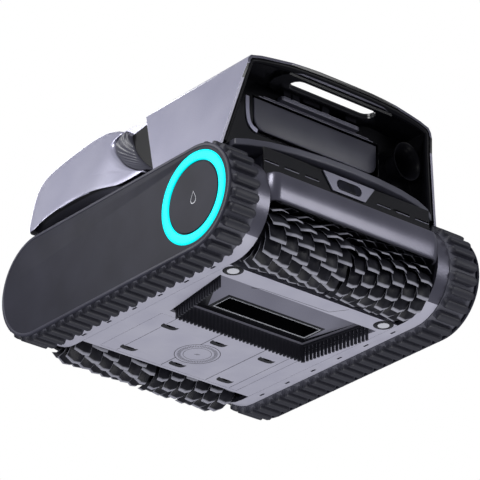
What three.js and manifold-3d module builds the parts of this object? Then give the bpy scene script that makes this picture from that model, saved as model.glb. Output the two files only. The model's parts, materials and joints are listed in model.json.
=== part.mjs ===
// Tracked pool-cleaning robot. Millimetres, +Z up, front towards -Y, z = 0 under the treads.
import {
  BoxGeometry,
  BufferAttribute,
  BufferGeometry,
  CylinderGeometry,
  ExtrudeGeometry,
  Group,
  LatheGeometry,
  Matrix4,
  Mesh,
  MeshStandardMaterial,
  Path,
  Shape,
  Vector2,
  Vector3,
} from 'three';
import { ConvexGeometry } from 'three/addons/geometries/ConvexGeometry.js';
import { mergeVertices } from 'three/addons/utils/BufferGeometryUtils.js';
import Module from 'manifold-3d';

const wasm = await Module();
wasm.setup();

// ---------------------------------------------------------------- driving sizes

// Fits
const gap = 0.3; // between pieces that touch
const turnGap = 0.4; // radial, around a turning shaft

// Tracks
const wheelBase = 333; // between the front and rear wheel axles
const treadRadius = 74; // axle to lug tips, so also the axle height
const lugHeight = 5;
const lugWidth = 11;
const lugTaper = 2; // how much narrower a lug is at its tip
const lugCount = 58;
const beltThickness = 4;
const beltWidth = 46;
const coverFace = 214.4; // centre plane to the side cover's face
const coverThickness = 3.1;
const coverMargin = 1.5; // lug tips to the cover's rim
const ringOuterRadius = 63.5;
const ringInnerRadius = 48.2;
const ringDepth = 1.8;
const ringProud = 0.6;
const frameRim = 20.4; // width of the track frame's band
const frameMargin = 6; // lug tips to the frame's rim
const frameRimWall = 6;
const frameWeb = 8;
const wheelSideGap = 2;
const wheelWall = 7;
const hubRadius = 15;
const idlerAxleRadius = 8;
const driveMotorRadius = 34;
const driveMotorLength = 30;
const driveShaftRadius = 6;
const rollerRadius = 14;
const rollerPinRadius = 5;
const rollerSpacing = 96;
const beamEndGap = 13.8; // beam to the wheels
const beamClearance = 5; // beam above the rollers
const drainPitch = 53.5;
const drainCount = 6;
const drainLength = 9;
const drainWidth = 3;

// Chassis
const chassisFront = 163;
const chassisRear = 151;
const chassisFloor = 6; // height of the underside
const bodyLift = 3.5; // chassis top above the treads' upper run
const floorThickness = 4;
const wall = 3.5;

// Brushes
const brushFrontY = -191;
const brushRearY = 197;
const brushAxisZ = 42;
const brushRadius = 41.5;
const brushCoreRadius = 15;
const brushShaftRadius = 6;
const brushBladeCount = 9;
const brushEnd = 139.5; // centre plane to a brush's outer end
const brushMiddleGap = 4; // centre plane to a brush's inner end
const brushClearance = 10;
const bearingBossRadius = 13;
const shaftEnd = 152;

// Intake
const mouthHalfWidth = 78;
const mouthFront = -75;
const mouthRear = -42;
const mouthRimHeight = 9;
const mouthRimWall = 5;
const funnelCeiling = 19;
const funnelThickness = 3;
const ductWall = 2.5;
const ductTop = 62.5;
const skirtFrontInset = 16; // skirt's front corners from the chassis side
const skirtRearInset = 34;
const skirtFront = -118;
const skirtRear = -2;
const skirtThickness = 4;
const skirtBottom = 0.6;
const skirtMargin = 5; // skirt to the edge of the floor opening
const flapThickness = 2;

// Battery bay
const bayHalfWidth = 118;
const bayFront = 16;
const bayRear = 146;
const fingerHoleSpacing = 83.4;
const fingerHoleRows = [42.6, 129.6];
const fingerHoleLength = 20;
const fingerHoleWidth = 8;
const coilRadius = 30;
const coilThickness = 2;
const batteryHalfWidth = 108;
const batteryHeight = 40;
const sensorCapInset = 15;
const sensorCapY = -143;
const sensorCapRadius = 8;

// Nose and tail
const noseInset = 16;
const noseFront = 235.7;
const noseStep = 217; // face behind the vent strip
const noseStepHeight = 110;
const bumperBottom = 68.5;
const bumperTop = 108;
const bumperThickness = 3.5;
const bumperCornerRadius = 14;
const stripBottom = 112;
const stripTop = 149;
const stripThickness = 3.5;
const ventSlotLength = 24;
const ventSlotHeight = 2.4;
const ventSlotPitch = 34;
const ventSlotsPerSide = 3;
const bezelTopHalfWidth = 45;
const bezelBottomHalfWidth = 28;
const bezelTop = 147;
const bezelBottom = 123;
const bezelThickness = 2.4;
const lensHalfWidth = 21;
const lensHalfHeight = 7;
const chinThickness = 10;
const chinHalfWidth = 171;
const chinBack = -150;

// Upper body
const shellWall = 4;
const shellRearHalfWidth = 148;
const shellRear = 238;
const pocketHalfLength = 92; // recess in the top around the carry slot
const pocketFront = -211;
const pocketRear = -170;
const pocketFloor = 284;
const linerWall = 3;
const linerBack = -157;
const linerSetback = 4;
const slotHalfWidth = 72;
const slotFront = -205;
const slotRear = -181;
const fenderWall = 4;
const lipDepth = 9;
const scoopHoleInner = 151;
const scoopHoleOuter = 160;
const flapHalfWidth = 108;
const skimmerFlapTop = 260;
const skimmerFlapBottom = 213;
const skimmerHoleSideGap = 2;
const skimmerHoleTopGap = 0.8; // the flap's top edge turns inside it
const latchHalfWidth = 68;
const latchBottom = 264;
const latchHeight = 6;
const latchDepth = 9;

// Filter chamber, lid and pump
const tubHalfWidth = 110;
const tubFront = -105;
const tubRear = 130;
const tubBottom = 60;
const tubWall = 3;
const basketGap = 2.6;
const basketWall = 2.5;
const basketTop = 250;
const lidGap = 1;
const hingePinRadius = 1.8;
const hingePinHalfLength = 70;
const hingePinZ = 288.6;
const lidButtonHalfWidth = 16;
const lidButtonHalfDepth = 7;
const powerButtonRadius = 9;
const powerButtonX = 45;
const powerButtonY = -152;
const buttonThickness = 6;
const lidButtonTop = 290.2;
const powerButtonTop = 292;
const pumpY = 180;
const pumpMotorRadius = 24;
const pumpMotorSink = 45.5; // depth of the motor below the chassis top
const pumpMotorHeight = 52;
const pumpHousingRadius = 42;
const pumpHousingStandoff = 2;
const pumpHousingHeight = 42;
const impellerRadius = 33;
const impellerHeight = 16;
const controlBoxHalfWidth = 60;

// ---------------------------------------------------------------- derived sizes

const axleY = wheelBase / 2;
const axleZ = treadRadius;
const beltOuterRadius = treadRadius - lugHeight;
const beltInnerRadius = beltOuterRadius - beltThickness;
const wheelRadius = beltInnerRadius - gap;
const coverInner = coverFace - coverThickness;
const beltOuterX = coverInner - gap;
const beltInnerX = beltOuterX - beltWidth;
const frameOuterX = beltInnerX - gap;
const frameInnerX = frameOuterX - frameRim;
const wheelInnerX = beltInnerX + wheelSideGap;
const wheelOuterX = beltOuterX - wheelSideGap;
const frameRadius = treadRadius - frameMargin;
const webInnerX = frameOuterX - frameWeb;
const rollerZ = axleZ - wheelRadius + rollerRadius;
const beamBottom = rollerZ + rollerRadius + beamClearance;
const beamTop = axleZ + beltInnerRadius - gap;
const beamHalfLength = wheelBase / 2 - wheelRadius - beamEndGap;
const chassisHalfWidth = frameInnerX - gap;
const chassisTop = 2 * treadRadius + bodyLift;
const shellBottom = chassisTop + gap;
const chinBottom = shellBottom + gap;
const pumpMotorBottom = chassisTop - pumpMotorSink;
const pumpMotorTop = pumpMotorBottom + pumpMotorHeight;
const pumpHousingBottom = pumpMotorTop + pumpHousingStandoff;
const chinTop = chinBottom + chinThickness;
const noseHalfWidth = chassisHalfWidth - noseInset;
const floorTop = chassisFloor + floorThickness;
const brushAxes = [brushFrontY, brushRearY];
const brushPocketRadius = brushRadius + brushClearance;
const stripBackY = noseStep + gap;

// ---------------------------------------------------------------- shape helpers

const swapToX = new Matrix4().set(0, 0, 1, 0, 1, 0, 0, 0, 0, 1, 0, 0, 0, 0, 0, 1);
const swapToY = new Matrix4().makeRotationX(Math.PI / 2);

/** Points [a, b] as a closed Shape. */
function outline(points) {
  return new Shape(points.map(([a, b]) => new Vector2(a, b)));
}

/** The same points as a hole of another Shape. */
function hole(points) {
  return new Path(points.map(([a, b]) => new Vector2(a, b)));
}

/** A (y, z) outline swept along X from x0 to x1. */
function prismX(points, x0, x1, holes = []) {
  const shape = outline(points);
  shape.holes = holes.map(hole);
  const geometry = new ExtrudeGeometry(shape, { depth: x1 - x0, bevelEnabled: false });
  return geometry.applyMatrix4(swapToX).translate(x0, 0, 0);
}

/** An (x, z) outline swept along Y from y0 to y1. */
function prismY(points, y0, y1) {
  const geometry = new ExtrudeGeometry(outline(points), { depth: y1 - y0, bevelEnabled: false });
  return geometry.applyMatrix4(swapToY).translate(0, y1, 0);
}

/** An (x, y) outline swept along Z from z0 to z1. */
function prismZ(points, z0, z1) {
  const geometry = new ExtrudeGeometry(outline(points), { depth: z1 - z0, bevelEnabled: false });
  return geometry.translate(0, 0, z0);
}

/** A box between two corners. */
function box(x0, x1, y0, y1, z0, z1) {
  const geometry = new BoxGeometry(x1 - x0, y1 - y0, z1 - z0);
  return geometry.translate((x0 + x1) / 2, (y0 + y1) / 2, (z0 + z1) / 2);
}

/** A cylinder along X. */
function rodX(radius, x0, x1, y, z, segments = 20) {
  const geometry = new CylinderGeometry(radius, radius, x1 - x0, segments);
  return geometry.rotateZ(Math.PI / 2).translate((x0 + x1) / 2, y, z);
}

/** A cylinder along Z. */
function rodZ(radius, z0, z1, x, y, segments = 20) {
  const geometry = new CylinderGeometry(radius, radius, z1 - z0, segments);
  return geometry.rotateX(Math.PI / 2).translate(x, y, (z0 + z1) / 2);
}

/** A profile of [radius, height] points turned around Z. */
function turnedZ(profile, x, y, segments = 28) {
  const geometry = new LatheGeometry(profile.map(([r, h]) => new Vector2(r, h)), segments);
  return geometry.rotateX(Math.PI / 2).translate(x, y, 0);
}

/** A profile of [radius, x] points turned around an X axis, for x on the given side. */
function turnedX(profile, side, y, z, segments = 28) {
  const points = profile.map(([r, x]) => new Vector2(r, side * x));
  if (side < 0) points.reverse();
  const geometry = new LatheGeometry(points, segments);
  return geometry.rotateZ(-Math.PI / 2).translate(0, y, z);
}

/** The point at a radius and an angle in degrees. */
function polar(radius, degrees) {
  const angle = (degrees * Math.PI) / 180;
  return [radius * Math.cos(angle), radius * Math.sin(angle)];
}

/** An arc of points around (ca, cb), from angle a0 to a1 in degrees. */
function arc(ca, cb, radius, a0, a1, steps) {
  const points = [];
  for (let i = 0; i <= steps; i += 1) {
    const [a, b] = polar(radius, a0 + ((a1 - a0) * i) / steps);
    points.push([ca + a, cb + b]);
  }
  return points;
}

/** A stadium around both axles. */
function stadium(radius, steps = 24) {
  return [
    ...arc(axleY, axleZ, radius, -90, 90, steps),
    ...arc(-axleY, axleZ, radius, 90, 270, steps),
  ];
}

/** A slot-shaped outline, long along the first axis. */
function capsule(ca, cb, halfLength, halfWidth, steps = 6) {
  return [
    ...arc(ca + halfLength - halfWidth, cb, halfWidth, -90, 90, steps),
    ...arc(ca - halfLength + halfWidth, cb, halfWidth, 90, 270, steps),
  ];
}

/** Right-hand points completed by their mirror images across the second axis. */
function mirrored(points) {
  const left = points.filter(([a]) => a > 0).map(([a, b]) => [-a, b]);
  return [...points, ...left.reverse()];
}

/** A closed anticlockwise outline moved inwards by a distance. */
function inset(points, distance) {
  const count = points.length;
  return points.map(([a, b], i) => {
    const [pa, pb] = points[(i + count - 1) % count];
    const [na, nb] = points[(i + 1) % count];
    const before = new Vector2(a - pa, b - pb).normalize();
    const after = new Vector2(na - a, nb - b).normalize();
    const normal = new Vector2(-before.y - after.y, before.x + after.x).normalize();
    const reach = distance / (normal.x * -before.y + normal.y * before.x);
    return [a + normal.x * reach, b + normal.y * reach];
  });
}

/** A geometry as a manifold solid. */
function solid(geometry) {
  const bare = geometry.clone();
  bare.deleteAttribute('normal');
  bare.deleteAttribute('uv');
  const merged = mergeVertices(bare, 1e-4);
  return new wasm.Manifold(
    new wasm.Mesh({
      numProp: 3,
      vertProperties: Float32Array.from(merged.attributes.position.array),
      triVerts: Uint32Array.from(merged.index.array),
    }),
  );
}

/** A manifold solid as a geometry. */
function geometryOf(manifold) {
  const mesh = manifold.getMesh();
  const geometry = new BufferGeometry();
  geometry.setAttribute('position', new BufferAttribute(mesh.vertProperties, 3));
  geometry.setIndex(new BufferAttribute(mesh.triVerts, 1));
  const flat = geometry.toNonIndexed();
  flat.computeVertexNormals();
  return flat;
}

function join(first, ...rest) {
  return geometryOf(rest.reduce((sum, piece) => sum.add(solid(piece)), solid(first)));
}

function cut(first, ...rest) {
  return geometryOf(rest.reduce((left, piece) => left.subtract(solid(piece)), solid(first)));
}

function common(first, ...rest) {
  return geometryOf(rest.reduce((both, piece) => both.intersect(solid(piece)), solid(first)));
}

/** A box given by distances from the centre plane, on one side (+1 or -1). */
function sideBox(side, x0, x1, y0, y1, z0, z1) {
  return side > 0 ? box(x0, x1, y0, y1, z0, z1) : box(-x1, -x0, y0, y1, z0, z1);
}

function sideRod(side, radius, x0, x1, y, z, segments) {
  return side > 0
    ? rodX(radius, x0, x1, y, z, segments)
    : rodX(radius, -x1, -x0, y, z, segments);
}

function sidePrism(side, points, x0, x1, holes) {
  return side > 0 ? prismX(points, x0, x1, holes) : prismX(points, -x1, -x0, holes);
}

// ---------------------------------------------------------------- materials

const finishes = {
  chassisGrey: { color: 0xa7a6b4, roughness: 0.35, metalness: 0.2 },
  shellSilver: { color: 0x9c9cae, roughness: 0.25, metalness: 0.5 },
  coverCharcoal: { color: 0x34343d, roughness: 0.45, metalness: 0.1 },
  frameGrey: { color: 0x4e4e59, roughness: 0.45, metalness: 0.1 },
  innerBlack: { color: 0x16161a, roughness: 0.2, metalness: 0.0 },
  rubberBlack: { color: 0x2a2a31, roughness: 0.7, metalness: 0.0 },
  ringCyan: { color: 0x00f0f5, roughness: 0.3, metalness: 0.0 },
  lensGlass: { color: 0x101014, roughness: 0.05, metalness: 0.0 },
  motorSteel: { color: 0x8d9095, roughness: 0.35, metalness: 0.9 },
  partWhite: { color: 0xd8d9de, roughness: 0.5, metalness: 0.0 },
  coilCopper: { color: 0xb87333, roughness: 0.4, metalness: 0.9 },
};

const robot = new Group();
robot.name = 'pool_cleaner';

/** Adds one named piece to the robot. */
function add(name, finish, geometry, parent = robot) {
  const mesh = new Mesh(geometry, new MeshStandardMaterial(finishes[finish]));
  mesh.name = name;
  parent.add(mesh);
  return mesh;
}

// ---------------------------------------------------------------- tracks

/** The point at a distance along the belt's outer face, raised outwards by a height. */
function beltPoint(distance, height) {
  const straight = wheelBase;
  const bend = Math.PI * beltOuterRadius;
  const total = 2 * (straight + bend);
  const s = ((distance % total) + total) % total;
  const radius = beltOuterRadius + height;
  if (s < straight) return [-axleY + s, axleZ - radius];
  if (s < straight + bend) {
    const angle = -Math.PI / 2 + (s - straight) / beltOuterRadius;
    return [axleY + radius * Math.cos(angle), axleZ + radius * Math.sin(angle)];
  }
  if (s < 2 * straight + bend) return [axleY - (s - straight - bend), axleZ + radius];
  const angle = Math.PI / 2 + (s - 2 * straight - bend) / beltOuterRadius;
  return [-axleY + radius * Math.cos(angle), axleZ + radius * Math.sin(angle)];
}

function treadOutline() {
  const total = 2 * (wheelBase + Math.PI * beltOuterRadius);
  const pitch = total / lugCount;
  const points = [];
  for (let i = 0; i < lugCount; i += 1) {
    const middle = (i + 0.5) * pitch;
    points.push(beltPoint(middle - lugWidth / 2, 0));
    points.push(beltPoint(middle - lugWidth / 2 + lugTaper / 2, lugHeight));
    points.push(beltPoint(middle + lugWidth / 2 - lugTaper / 2, lugHeight));
    points.push(beltPoint(middle + lugWidth / 2, 0));
  }
  return points;
}

function makeTrack(side, label) {
  const unit = new Group();
  robot.add(unit);

  const belt = sidePrism(side, treadOutline(), beltInnerX, beltOuterX, [
    stadium(beltInnerRadius),
  ]);
  add(`${label}_track_belt`, 'rubberBlack', belt, unit);

  // Band, recessed web, bearing bosses, beam between the runs, roller pins and idler axle
  const drains = [];
  for (let i = 0; i < drainCount; i += 1) {
    const y = ((drainCount - 1) / 2 - i) * drainPitch;
    const middle = (frameInnerX + frameOuterX) / 2;
    drains.push(
      sideBox(side, middle - drainWidth / 2, middle + drainWidth / 2,
        y - drainLength / 2, y + drainLength / 2, 0, axleZ - frameRadius + frameRimWall / 2),
    );
  }
  const bosses = brushAxes.map((y) =>
    sideRod(side, bearingBossRadius, frameInnerX, webInnerX + 1, y, brushAxisZ),
  );
  const bearings = brushAxes.map((y) =>
    sideRod(side, brushShaftRadius + turnGap, frameInnerX - 1, shaftEnd + gap, y, brushAxisZ),
  );
  const pins = [-1, 1].map((end) =>
    sideRod(side, rollerPinRadius, webInnerX + 1, wheelOuterX,
      (end * rollerSpacing) / 2, rollerZ, 16),
  );
  const idlerAxle = sideRod(side, idlerAxleRadius, webInnerX + 1, coverInner - gap, axleY, axleZ);
  const beam = sideBox(side, webInnerX + 1, coverInner - gap,
    -beamHalfLength, beamHalfLength, beamBottom, beamTop);
  const band = cut(
    sidePrism(side, stadium(frameRadius, 18), frameInnerX, frameOuterX),
    sidePrism(side, stadium(frameRadius - frameRimWall, 18), frameInnerX - 1, webInnerX),
    ...drains,
  );
  const frame = cut(join(band, ...bosses, beam, idlerAxle, ...pins), ...bearings);
  add(`${label}_track_frame`, 'frameGrey', frame, unit);

  // Drive wheel: a cup around the motor, closed at its outer end
  const driveProfile = [
    [0, wheelInnerX + driveMotorLength],
    [driveShaftRadius, wheelInnerX + driveMotorLength],
    [driveShaftRadius, wheelOuterX - wheelWall],
    [wheelRadius - wheelWall, wheelOuterX - wheelWall],
    [wheelRadius - wheelWall, wheelInnerX],
    [wheelRadius, wheelInnerX],
    [wheelRadius, wheelOuterX],
    [0, wheelOuterX],
  ];
  add(`${label}_drive_wheel`, 'frameGrey', turnedX(driveProfile, side, -axleY, axleZ), unit);
  const motor = sideRod(side, driveMotorRadius, beltInnerX,
    wheelInnerX + driveMotorLength - gap, -axleY, axleZ);
  add(`${label}_drive_motor`, 'motorSteel', motor, unit);

  // Idler wheel, turning on the frame's axle
  const idlerBore = idlerAxleRadius + turnGap;
  const middleX = (wheelInnerX + wheelOuterX) / 2;
  const idlerProfile = [
    [idlerBore, wheelInnerX],
    [hubRadius, wheelInnerX],
    [hubRadius, middleX - wheelWall / 2],
    [wheelRadius - wheelWall, middleX - wheelWall / 2],
    [wheelRadius - wheelWall, wheelInnerX],
    [wheelRadius, wheelInnerX],
    [wheelRadius, wheelOuterX],
    [wheelRadius - wheelWall, wheelOuterX],
    [wheelRadius - wheelWall, middleX + wheelWall / 2],
    [hubRadius, middleX + wheelWall / 2],
    [hubRadius, wheelOuterX],
    [idlerBore, wheelOuterX],
    [idlerBore, wheelInnerX],
  ];
  add(`${label}_idler_wheel`, 'frameGrey', turnedX(idlerProfile, side, axleY, axleZ), unit);

  for (const end of [-1, 1]) {
    const profile = [
      [rollerPinRadius + turnGap, wheelInnerX],
      [rollerRadius, wheelInnerX],
      [rollerRadius, wheelOuterX],
      [rollerPinRadius + turnGap, wheelOuterX],
      [rollerPinRadius + turnGap, wheelInnerX],
    ];
    const roller = turnedX(profile, side, (end * rollerSpacing) / 2, rollerZ, 20);
    add(`${label}_roller_${end < 0 ? 'front' : 'rear'}`, 'frameGrey', roller, unit);
  }

  // Side cover with the groove for its light ring
  const plate = sidePrism(side, stadium(treadRadius - coverMargin, 24), coverInner, coverFace);
  const groove = cut(
    sideRod(side, ringOuterRadius + gap, coverFace - ringDepth, coverFace + 1, -axleY, axleZ, 48),
    sideRod(side, ringInnerRadius - gap, coverInner, coverFace + 2, -axleY, axleZ, 48),
  );
  add(`${label}_side_cover`, 'coverCharcoal', cut(plate, groove), unit);
  const ringProfile = [
    [ringInnerRadius, coverFace - ringDepth + gap],
    [ringOuterRadius, coverFace - ringDepth + gap],
    [ringOuterRadius, coverFace],
    [ringOuterRadius - ringProud, coverFace + ringProud],
    [ringInnerRadius + ringProud, coverFace + ringProud],
    [ringInnerRadius, coverFace],
    [ringInnerRadius, coverFace - ringDepth + gap],
  ];
  add(`${label}_light_ring`, 'ringCyan', turnedX(ringProfile, side, -axleY, axleZ, 48), unit);
}

makeTrack(-1, 'left');
makeTrack(1, 'right');

// ---------------------------------------------------------------- brushes

/** A toothed cross-section of bent leaf blades, in the (y, z) plane. */
function brushOutline(turn) {
  const points = [];
  const step = 360 / brushBladeCount;
  for (let i = 0; i < brushBladeCount; i += 1) {
    const start = i * step + turn;
    points.push(polar(brushCoreRadius, start));
    points.push(polar(brushRadius, start + step * 0.42));
    points.push(polar(brushRadius, start + step * 0.55));
    points.push(polar(brushCoreRadius, start + step * 0.5));
  }
  return points;
}

function makeBrush(y, label) {
  const unit = new Group();
  unit.position.set(0, y, brushAxisZ);
  robot.add(unit);
  add(`${label}_brush_shaft`, 'motorSteel', rodX(brushShaftRadius, -shaftEnd, shaftEnd, 0, 0), unit);
  const bore = arc(0, 0, brushShaftRadius + gap, 0, 330, 11);
  const step = 360 / brushBladeCount / 2;
  const left = prismX(brushOutline(0), -brushEnd, -brushMiddleGap, [bore]);
  const right = prismX(brushOutline(step), brushMiddleGap, brushEnd, [bore]);
  add(`${label}_brush_left`, 'rubberBlack', left, unit);
  add(`${label}_brush_right`, 'rubberBlack', right, unit);
}

makeBrush(brushFrontY, 'front');
makeBrush(brushRearY, 'rear');

// ---------------------------------------------------------------- chassis and intake

/** The trapezoid that the skirt follows, grown outwards by a distance. */
function skirtOutline(grow) {
  return inset(
    [
      [-chassisHalfWidth + skirtFrontInset, skirtFront],
      [chassisHalfWidth - skirtFrontInset, skirtFront],
      [chassisHalfWidth - skirtRearInset, skirtRear],
      [-chassisHalfWidth + skirtRearInset, skirtRear],
    ],
    -grow,
  );
}

const brushPockets = brushAxes.map((y) =>
  rodX(brushPocketRadius, -chassisHalfWidth - 1, chassisHalfWidth + 1, y, brushAxisZ, 48),
);
const innerPockets = brushAxes.map((y) =>
  rodX(brushPocketRadius + wall, -chassisHalfWidth, chassisHalfWidth, y, brushAxisZ, 48),
);
const chassisInside = cut(
  box(-chassisHalfWidth + wall, chassisHalfWidth - wall,
    -chassisFront + wall, chassisRear - wall, floorTop, chassisTop + 1),
  ...innerPockets,
);
const sensorHoles = [-1, 1].map((side) =>
  rodZ(sensorCapRadius + gap, 0, floorTop + 2 + gap,
    side * (chassisHalfWidth - sensorCapInset), sensorCapY),
);
const chassis = cut(
  box(-chassisHalfWidth, chassisHalfWidth, -chassisFront, chassisRear, chassisFloor, chassisTop),
  ...brushPockets,
  chassisInside,
  prismZ(skirtOutline(skirtMargin), 0, floorTop + 1),
  box(-bayHalfWidth - gap, bayHalfWidth + gap, bayFront - gap, bayRear + gap, 0, floorTop + 1),
  ...sensorHoles,
);
add('bottom_chassis', 'chassisGrey', chassis);

for (const side of [-1, 1]) {
  const cap = rodZ(sensorCapRadius, chassisFloor - 1, floorTop + 2,
    side * (chassisHalfWidth - sensorCapInset), sensorCapY, 20);
  add(`${side < 0 ? 'left' : 'right'}_sensor_cap`, 'partWhite', cap);
}

// Funnel: a tray on the floor plate, sloping down to the mouth, with the duct above
const mouthSlope = new ConvexGeometry(
  [
    ...skirtOutline(-skirtThickness - 2).map(([x, y]) => new Vector3(x, y, funnelCeiling + 1)),
    new Vector3(-mouthHalfWidth - mouthRimWall, mouthFront - mouthRimWall, mouthRimHeight),
    new Vector3(mouthHalfWidth + mouthRimWall, mouthFront - mouthRimWall, mouthRimHeight),
    new Vector3(mouthHalfWidth + mouthRimWall, mouthRear + mouthRimWall, mouthRimHeight),
    new Vector3(-mouthHalfWidth - mouthRimWall, mouthRear + mouthRimWall, mouthRimHeight),
  ],
);
const funnel = cut(
  join(
    cut(
      prismZ(skirtOutline(skirtMargin + funnelThickness), floorTop + gap,
        funnelCeiling + funnelThickness),
      prismZ(skirtOutline(skirtMargin), 0, funnelCeiling),
    ),
    mouthSlope,
    box(-mouthHalfWidth - ductWall, mouthHalfWidth + ductWall,
      mouthFront - ductWall, mouthRear + ductWall, funnelCeiling, ductTop),
  ),
  box(-mouthHalfWidth, mouthHalfWidth, mouthFront, mouthRear, 0, ductTop + 1),
);
add('intake_funnel', 'chassisGrey', funnel);

const skirt = cut(
  prismZ(skirtOutline(0), skirtBottom, funnelCeiling - gap),
  prismZ(skirtOutline(-skirtThickness), 0, funnelCeiling + 1),
  box(-chassisHalfWidth + skirtFrontInset + skirtThickness - 1,
    chassisHalfWidth - skirtFrontInset - skirtThickness + 1,
    skirtFront - 1, skirtFront + skirtThickness + 1, 0, funnelCeiling + 1),
);
add('intake_skirt', 'rubberBlack', skirt);

const flapBottom = ductTop + gap;
const intakeFlap = box(-mouthHalfWidth - 1.5, mouthHalfWidth + 1.5,
  mouthFront - 1.5, mouthRear + 1.5, flapBottom, flapBottom + flapThickness);
add('intake_flap', 'rubberBlack', intakeFlap);

// ---------------------------------------------------------------- battery bay

const fingerHoles = [];
for (const y of fingerHoleRows) {
  for (const column of [-1, 0, 1]) {
    const points = capsule(column * fingerHoleSpacing, y, fingerHoleLength / 2,
      fingerHoleWidth / 2, 4);
    fingerHoles.push(prismZ(points, chassisFloor - 1, chassisFloor + 2.4));
  }
}
const batteryCover = cut(
  box(-bayHalfWidth, bayHalfWidth, bayFront, bayRear, chassisFloor, floorTop - gap),
  ...fingerHoles,
);
add('battery_cover', 'chassisGrey', batteryCover);
const bayMiddle = (fingerHoleRows[0] + fingerHoleRows[1]) / 2;
const coilProfile = [
  [coilRadius / 2, floorTop],
  [coilRadius, floorTop],
  [coilRadius, floorTop + coilThickness],
  [coilRadius / 2, floorTop + coilThickness],
  [coilRadius / 2, floorTop],
];
add('charging_coil', 'coilCopper', turnedZ(coilProfile, 0, bayMiddle));
const batteryBottom = floorTop + coilThickness + gap;
const batteryRear = brushRearY - brushPocketRadius - wall - 1;
add('battery_pack', 'innerBlack', box(-batteryHalfWidth, batteryHalfWidth,
  bayFront + 4, batteryRear, batteryBottom, batteryBottom + batteryHeight));

// ---------------------------------------------------------------- nose and tail

/** The block over a brush that carries a bumper; end is -1 at the front and +1 at the rear. */
function makeEndFrame(end, inner) {
  const axisY = end < 0 ? brushFrontY : -brushRearY;
  const startCosine = (noseFront + axisY) / brushPocketRadius;
  const startAngle = 180 - Math.acos(startCosine) * 180 / Math.PI;
  const pocket = arc(axisY, brushAxisZ, brushPocketRadius, startAngle, 40, 14);
  const profile = [
    [-inner - gap, chassisTop + gap / 2],
    [-noseStep, chassisTop + gap / 2],
    [-noseStep, noseStepHeight],
    [-noseFront, bumperTop],
    [-noseFront, pocket[0][1]],
    ...pocket.filter(([y]) => y < -inner - gap),
    [-inner - gap, pocket.filter(([y]) => y < -inner - gap).at(-1)[1]],
  ];
  const turned = profile.map(([y, z]) => [-end * y, z]);
  if (end < 0) turned.reverse();
  const block = prismX(turned, -noseHalfWidth, noseHalfWidth);
  const hollowNear = Math.min(-end * (-inner + 1), -end * (-noseStep + 5));
  const hollowFar = Math.max(-end * (-inner + 1), -end * (-noseStep + 5));
  const hollow = box(-noseHalfWidth + 4, noseHalfWidth - 4, hollowNear, hollowFar,
    brushAxisZ + brushPocketRadius + 4, chassisTop - 4);
  return cut(block, hollow);
}

/** A bumper panel with its ends curved back, across the front (-1) or the rear (+1). */
function makeBumper(end) {
  const face = noseFront + gap + bumperThickness;
  const half = chassisHalfWidth;
  const radius = bumperCornerRadius;
  const outer = arc(half - radius, face - radius, radius, 0, 90, 6);
  const inner = arc(half - radius, face - radius, radius - bumperThickness, 90, 0, 6);
  const right = [...outer];
  const left = outer.map(([x, y]) => [-x, y]).reverse();
  const innerLeft = inner.map(([x, y]) => [-x, y]).reverse();
  const ring = [...right, ...left, ...innerLeft, ...inner];
  const placed = ring.map(([x, y]) => [end * x, end * y]);
  return prismZ(placed, bumperBottom, bumperTop);
}

add('front_frame', 'frameGrey', makeEndFrame(-1, chassisFront));
const pumpSeat = rodZ(pumpMotorRadius + gap, pumpMotorBottom, chassisTop + 2, 0, pumpY, 32);
add('rear_frame', 'frameGrey', cut(makeEndFrame(1, chassisRear), pumpSeat));
add('front_bumper', 'frameGrey', makeBumper(-1));
add('rear_bumper', 'frameGrey', makeBumper(1));

const ventSlots = [];
for (const side of [-1, 1]) {
  for (let i = 0; i < ventSlotsPerSide; i += 1) {
    const x = side * (bezelTopHalfWidth + ventSlotPitch * (i + 0.5));
    const z = (stripBottom + stripTop) / 2;
    ventSlots.push(
      box(x - ventSlotLength / 2, x + ventSlotLength / 2, -stripBackY - stripThickness - 1,
        -stripBackY + 1, z - ventSlotHeight / 2, z + ventSlotHeight / 2),
    );
  }
}
const strip = cut(
  box(-chassisHalfWidth + 1, chassisHalfWidth - 1, -stripBackY - stripThickness, -stripBackY,
    stripBottom, stripTop),
  ...ventSlots,
);
add('vent_strip', 'innerBlack', strip);

const bezelFront = -stripBackY - stripThickness - gap - bezelThickness;
const bezelBack = -stripBackY - stripThickness - gap;
const lensZ = (bezelTop + bezelBottom) / 2;
const bezel = cut(
  prismY(
    [
      [-bezelBottomHalfWidth, bezelBottom],
      [bezelBottomHalfWidth, bezelBottom],
      [bezelTopHalfWidth, bezelTop],
      [-bezelTopHalfWidth, bezelTop],
    ],
    bezelFront,
    bezelBack,
  ),
  prismY(capsule(0, lensZ, lensHalfWidth + gap, lensHalfHeight + gap), bezelFront - 1, bezelBack + 1),
);
add('sensor_bezel', 'frameGrey', bezel);
add('sensor_lens', 'lensGlass',
  prismY(capsule(0, lensZ, lensHalfWidth, lensHalfHeight), bezelFront - 0.6, bezelBack));

const chinOutline = mirrored([
  [0, -232],
  [45, -230.5],
  [90, -225.5],
  [128, -217],
  [156, -206],
  [chinHalfWidth, -196],
  [chinHalfWidth, chinBack],
]);
add('front_chin', 'frameGrey', prismZ(chinOutline, chinBottom, chinTop));

// ---------------------------------------------------------------- upper body

// Front view of the upper body: sides that slope out downwards under a crowned top
const bodyFrontView = mirrored([
  [222, 0],
  [160.5, 276],
  [156, 282],
  [140, 285.5],
  [91, 290],
  [45, 291.8],
  [0, 292],
]);
const fenderFrontView = mirrored([
  [222, 0],
  [159, 284],
  [155.5, 291],
  [149, 296],
  [120, 300],
]);

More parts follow.
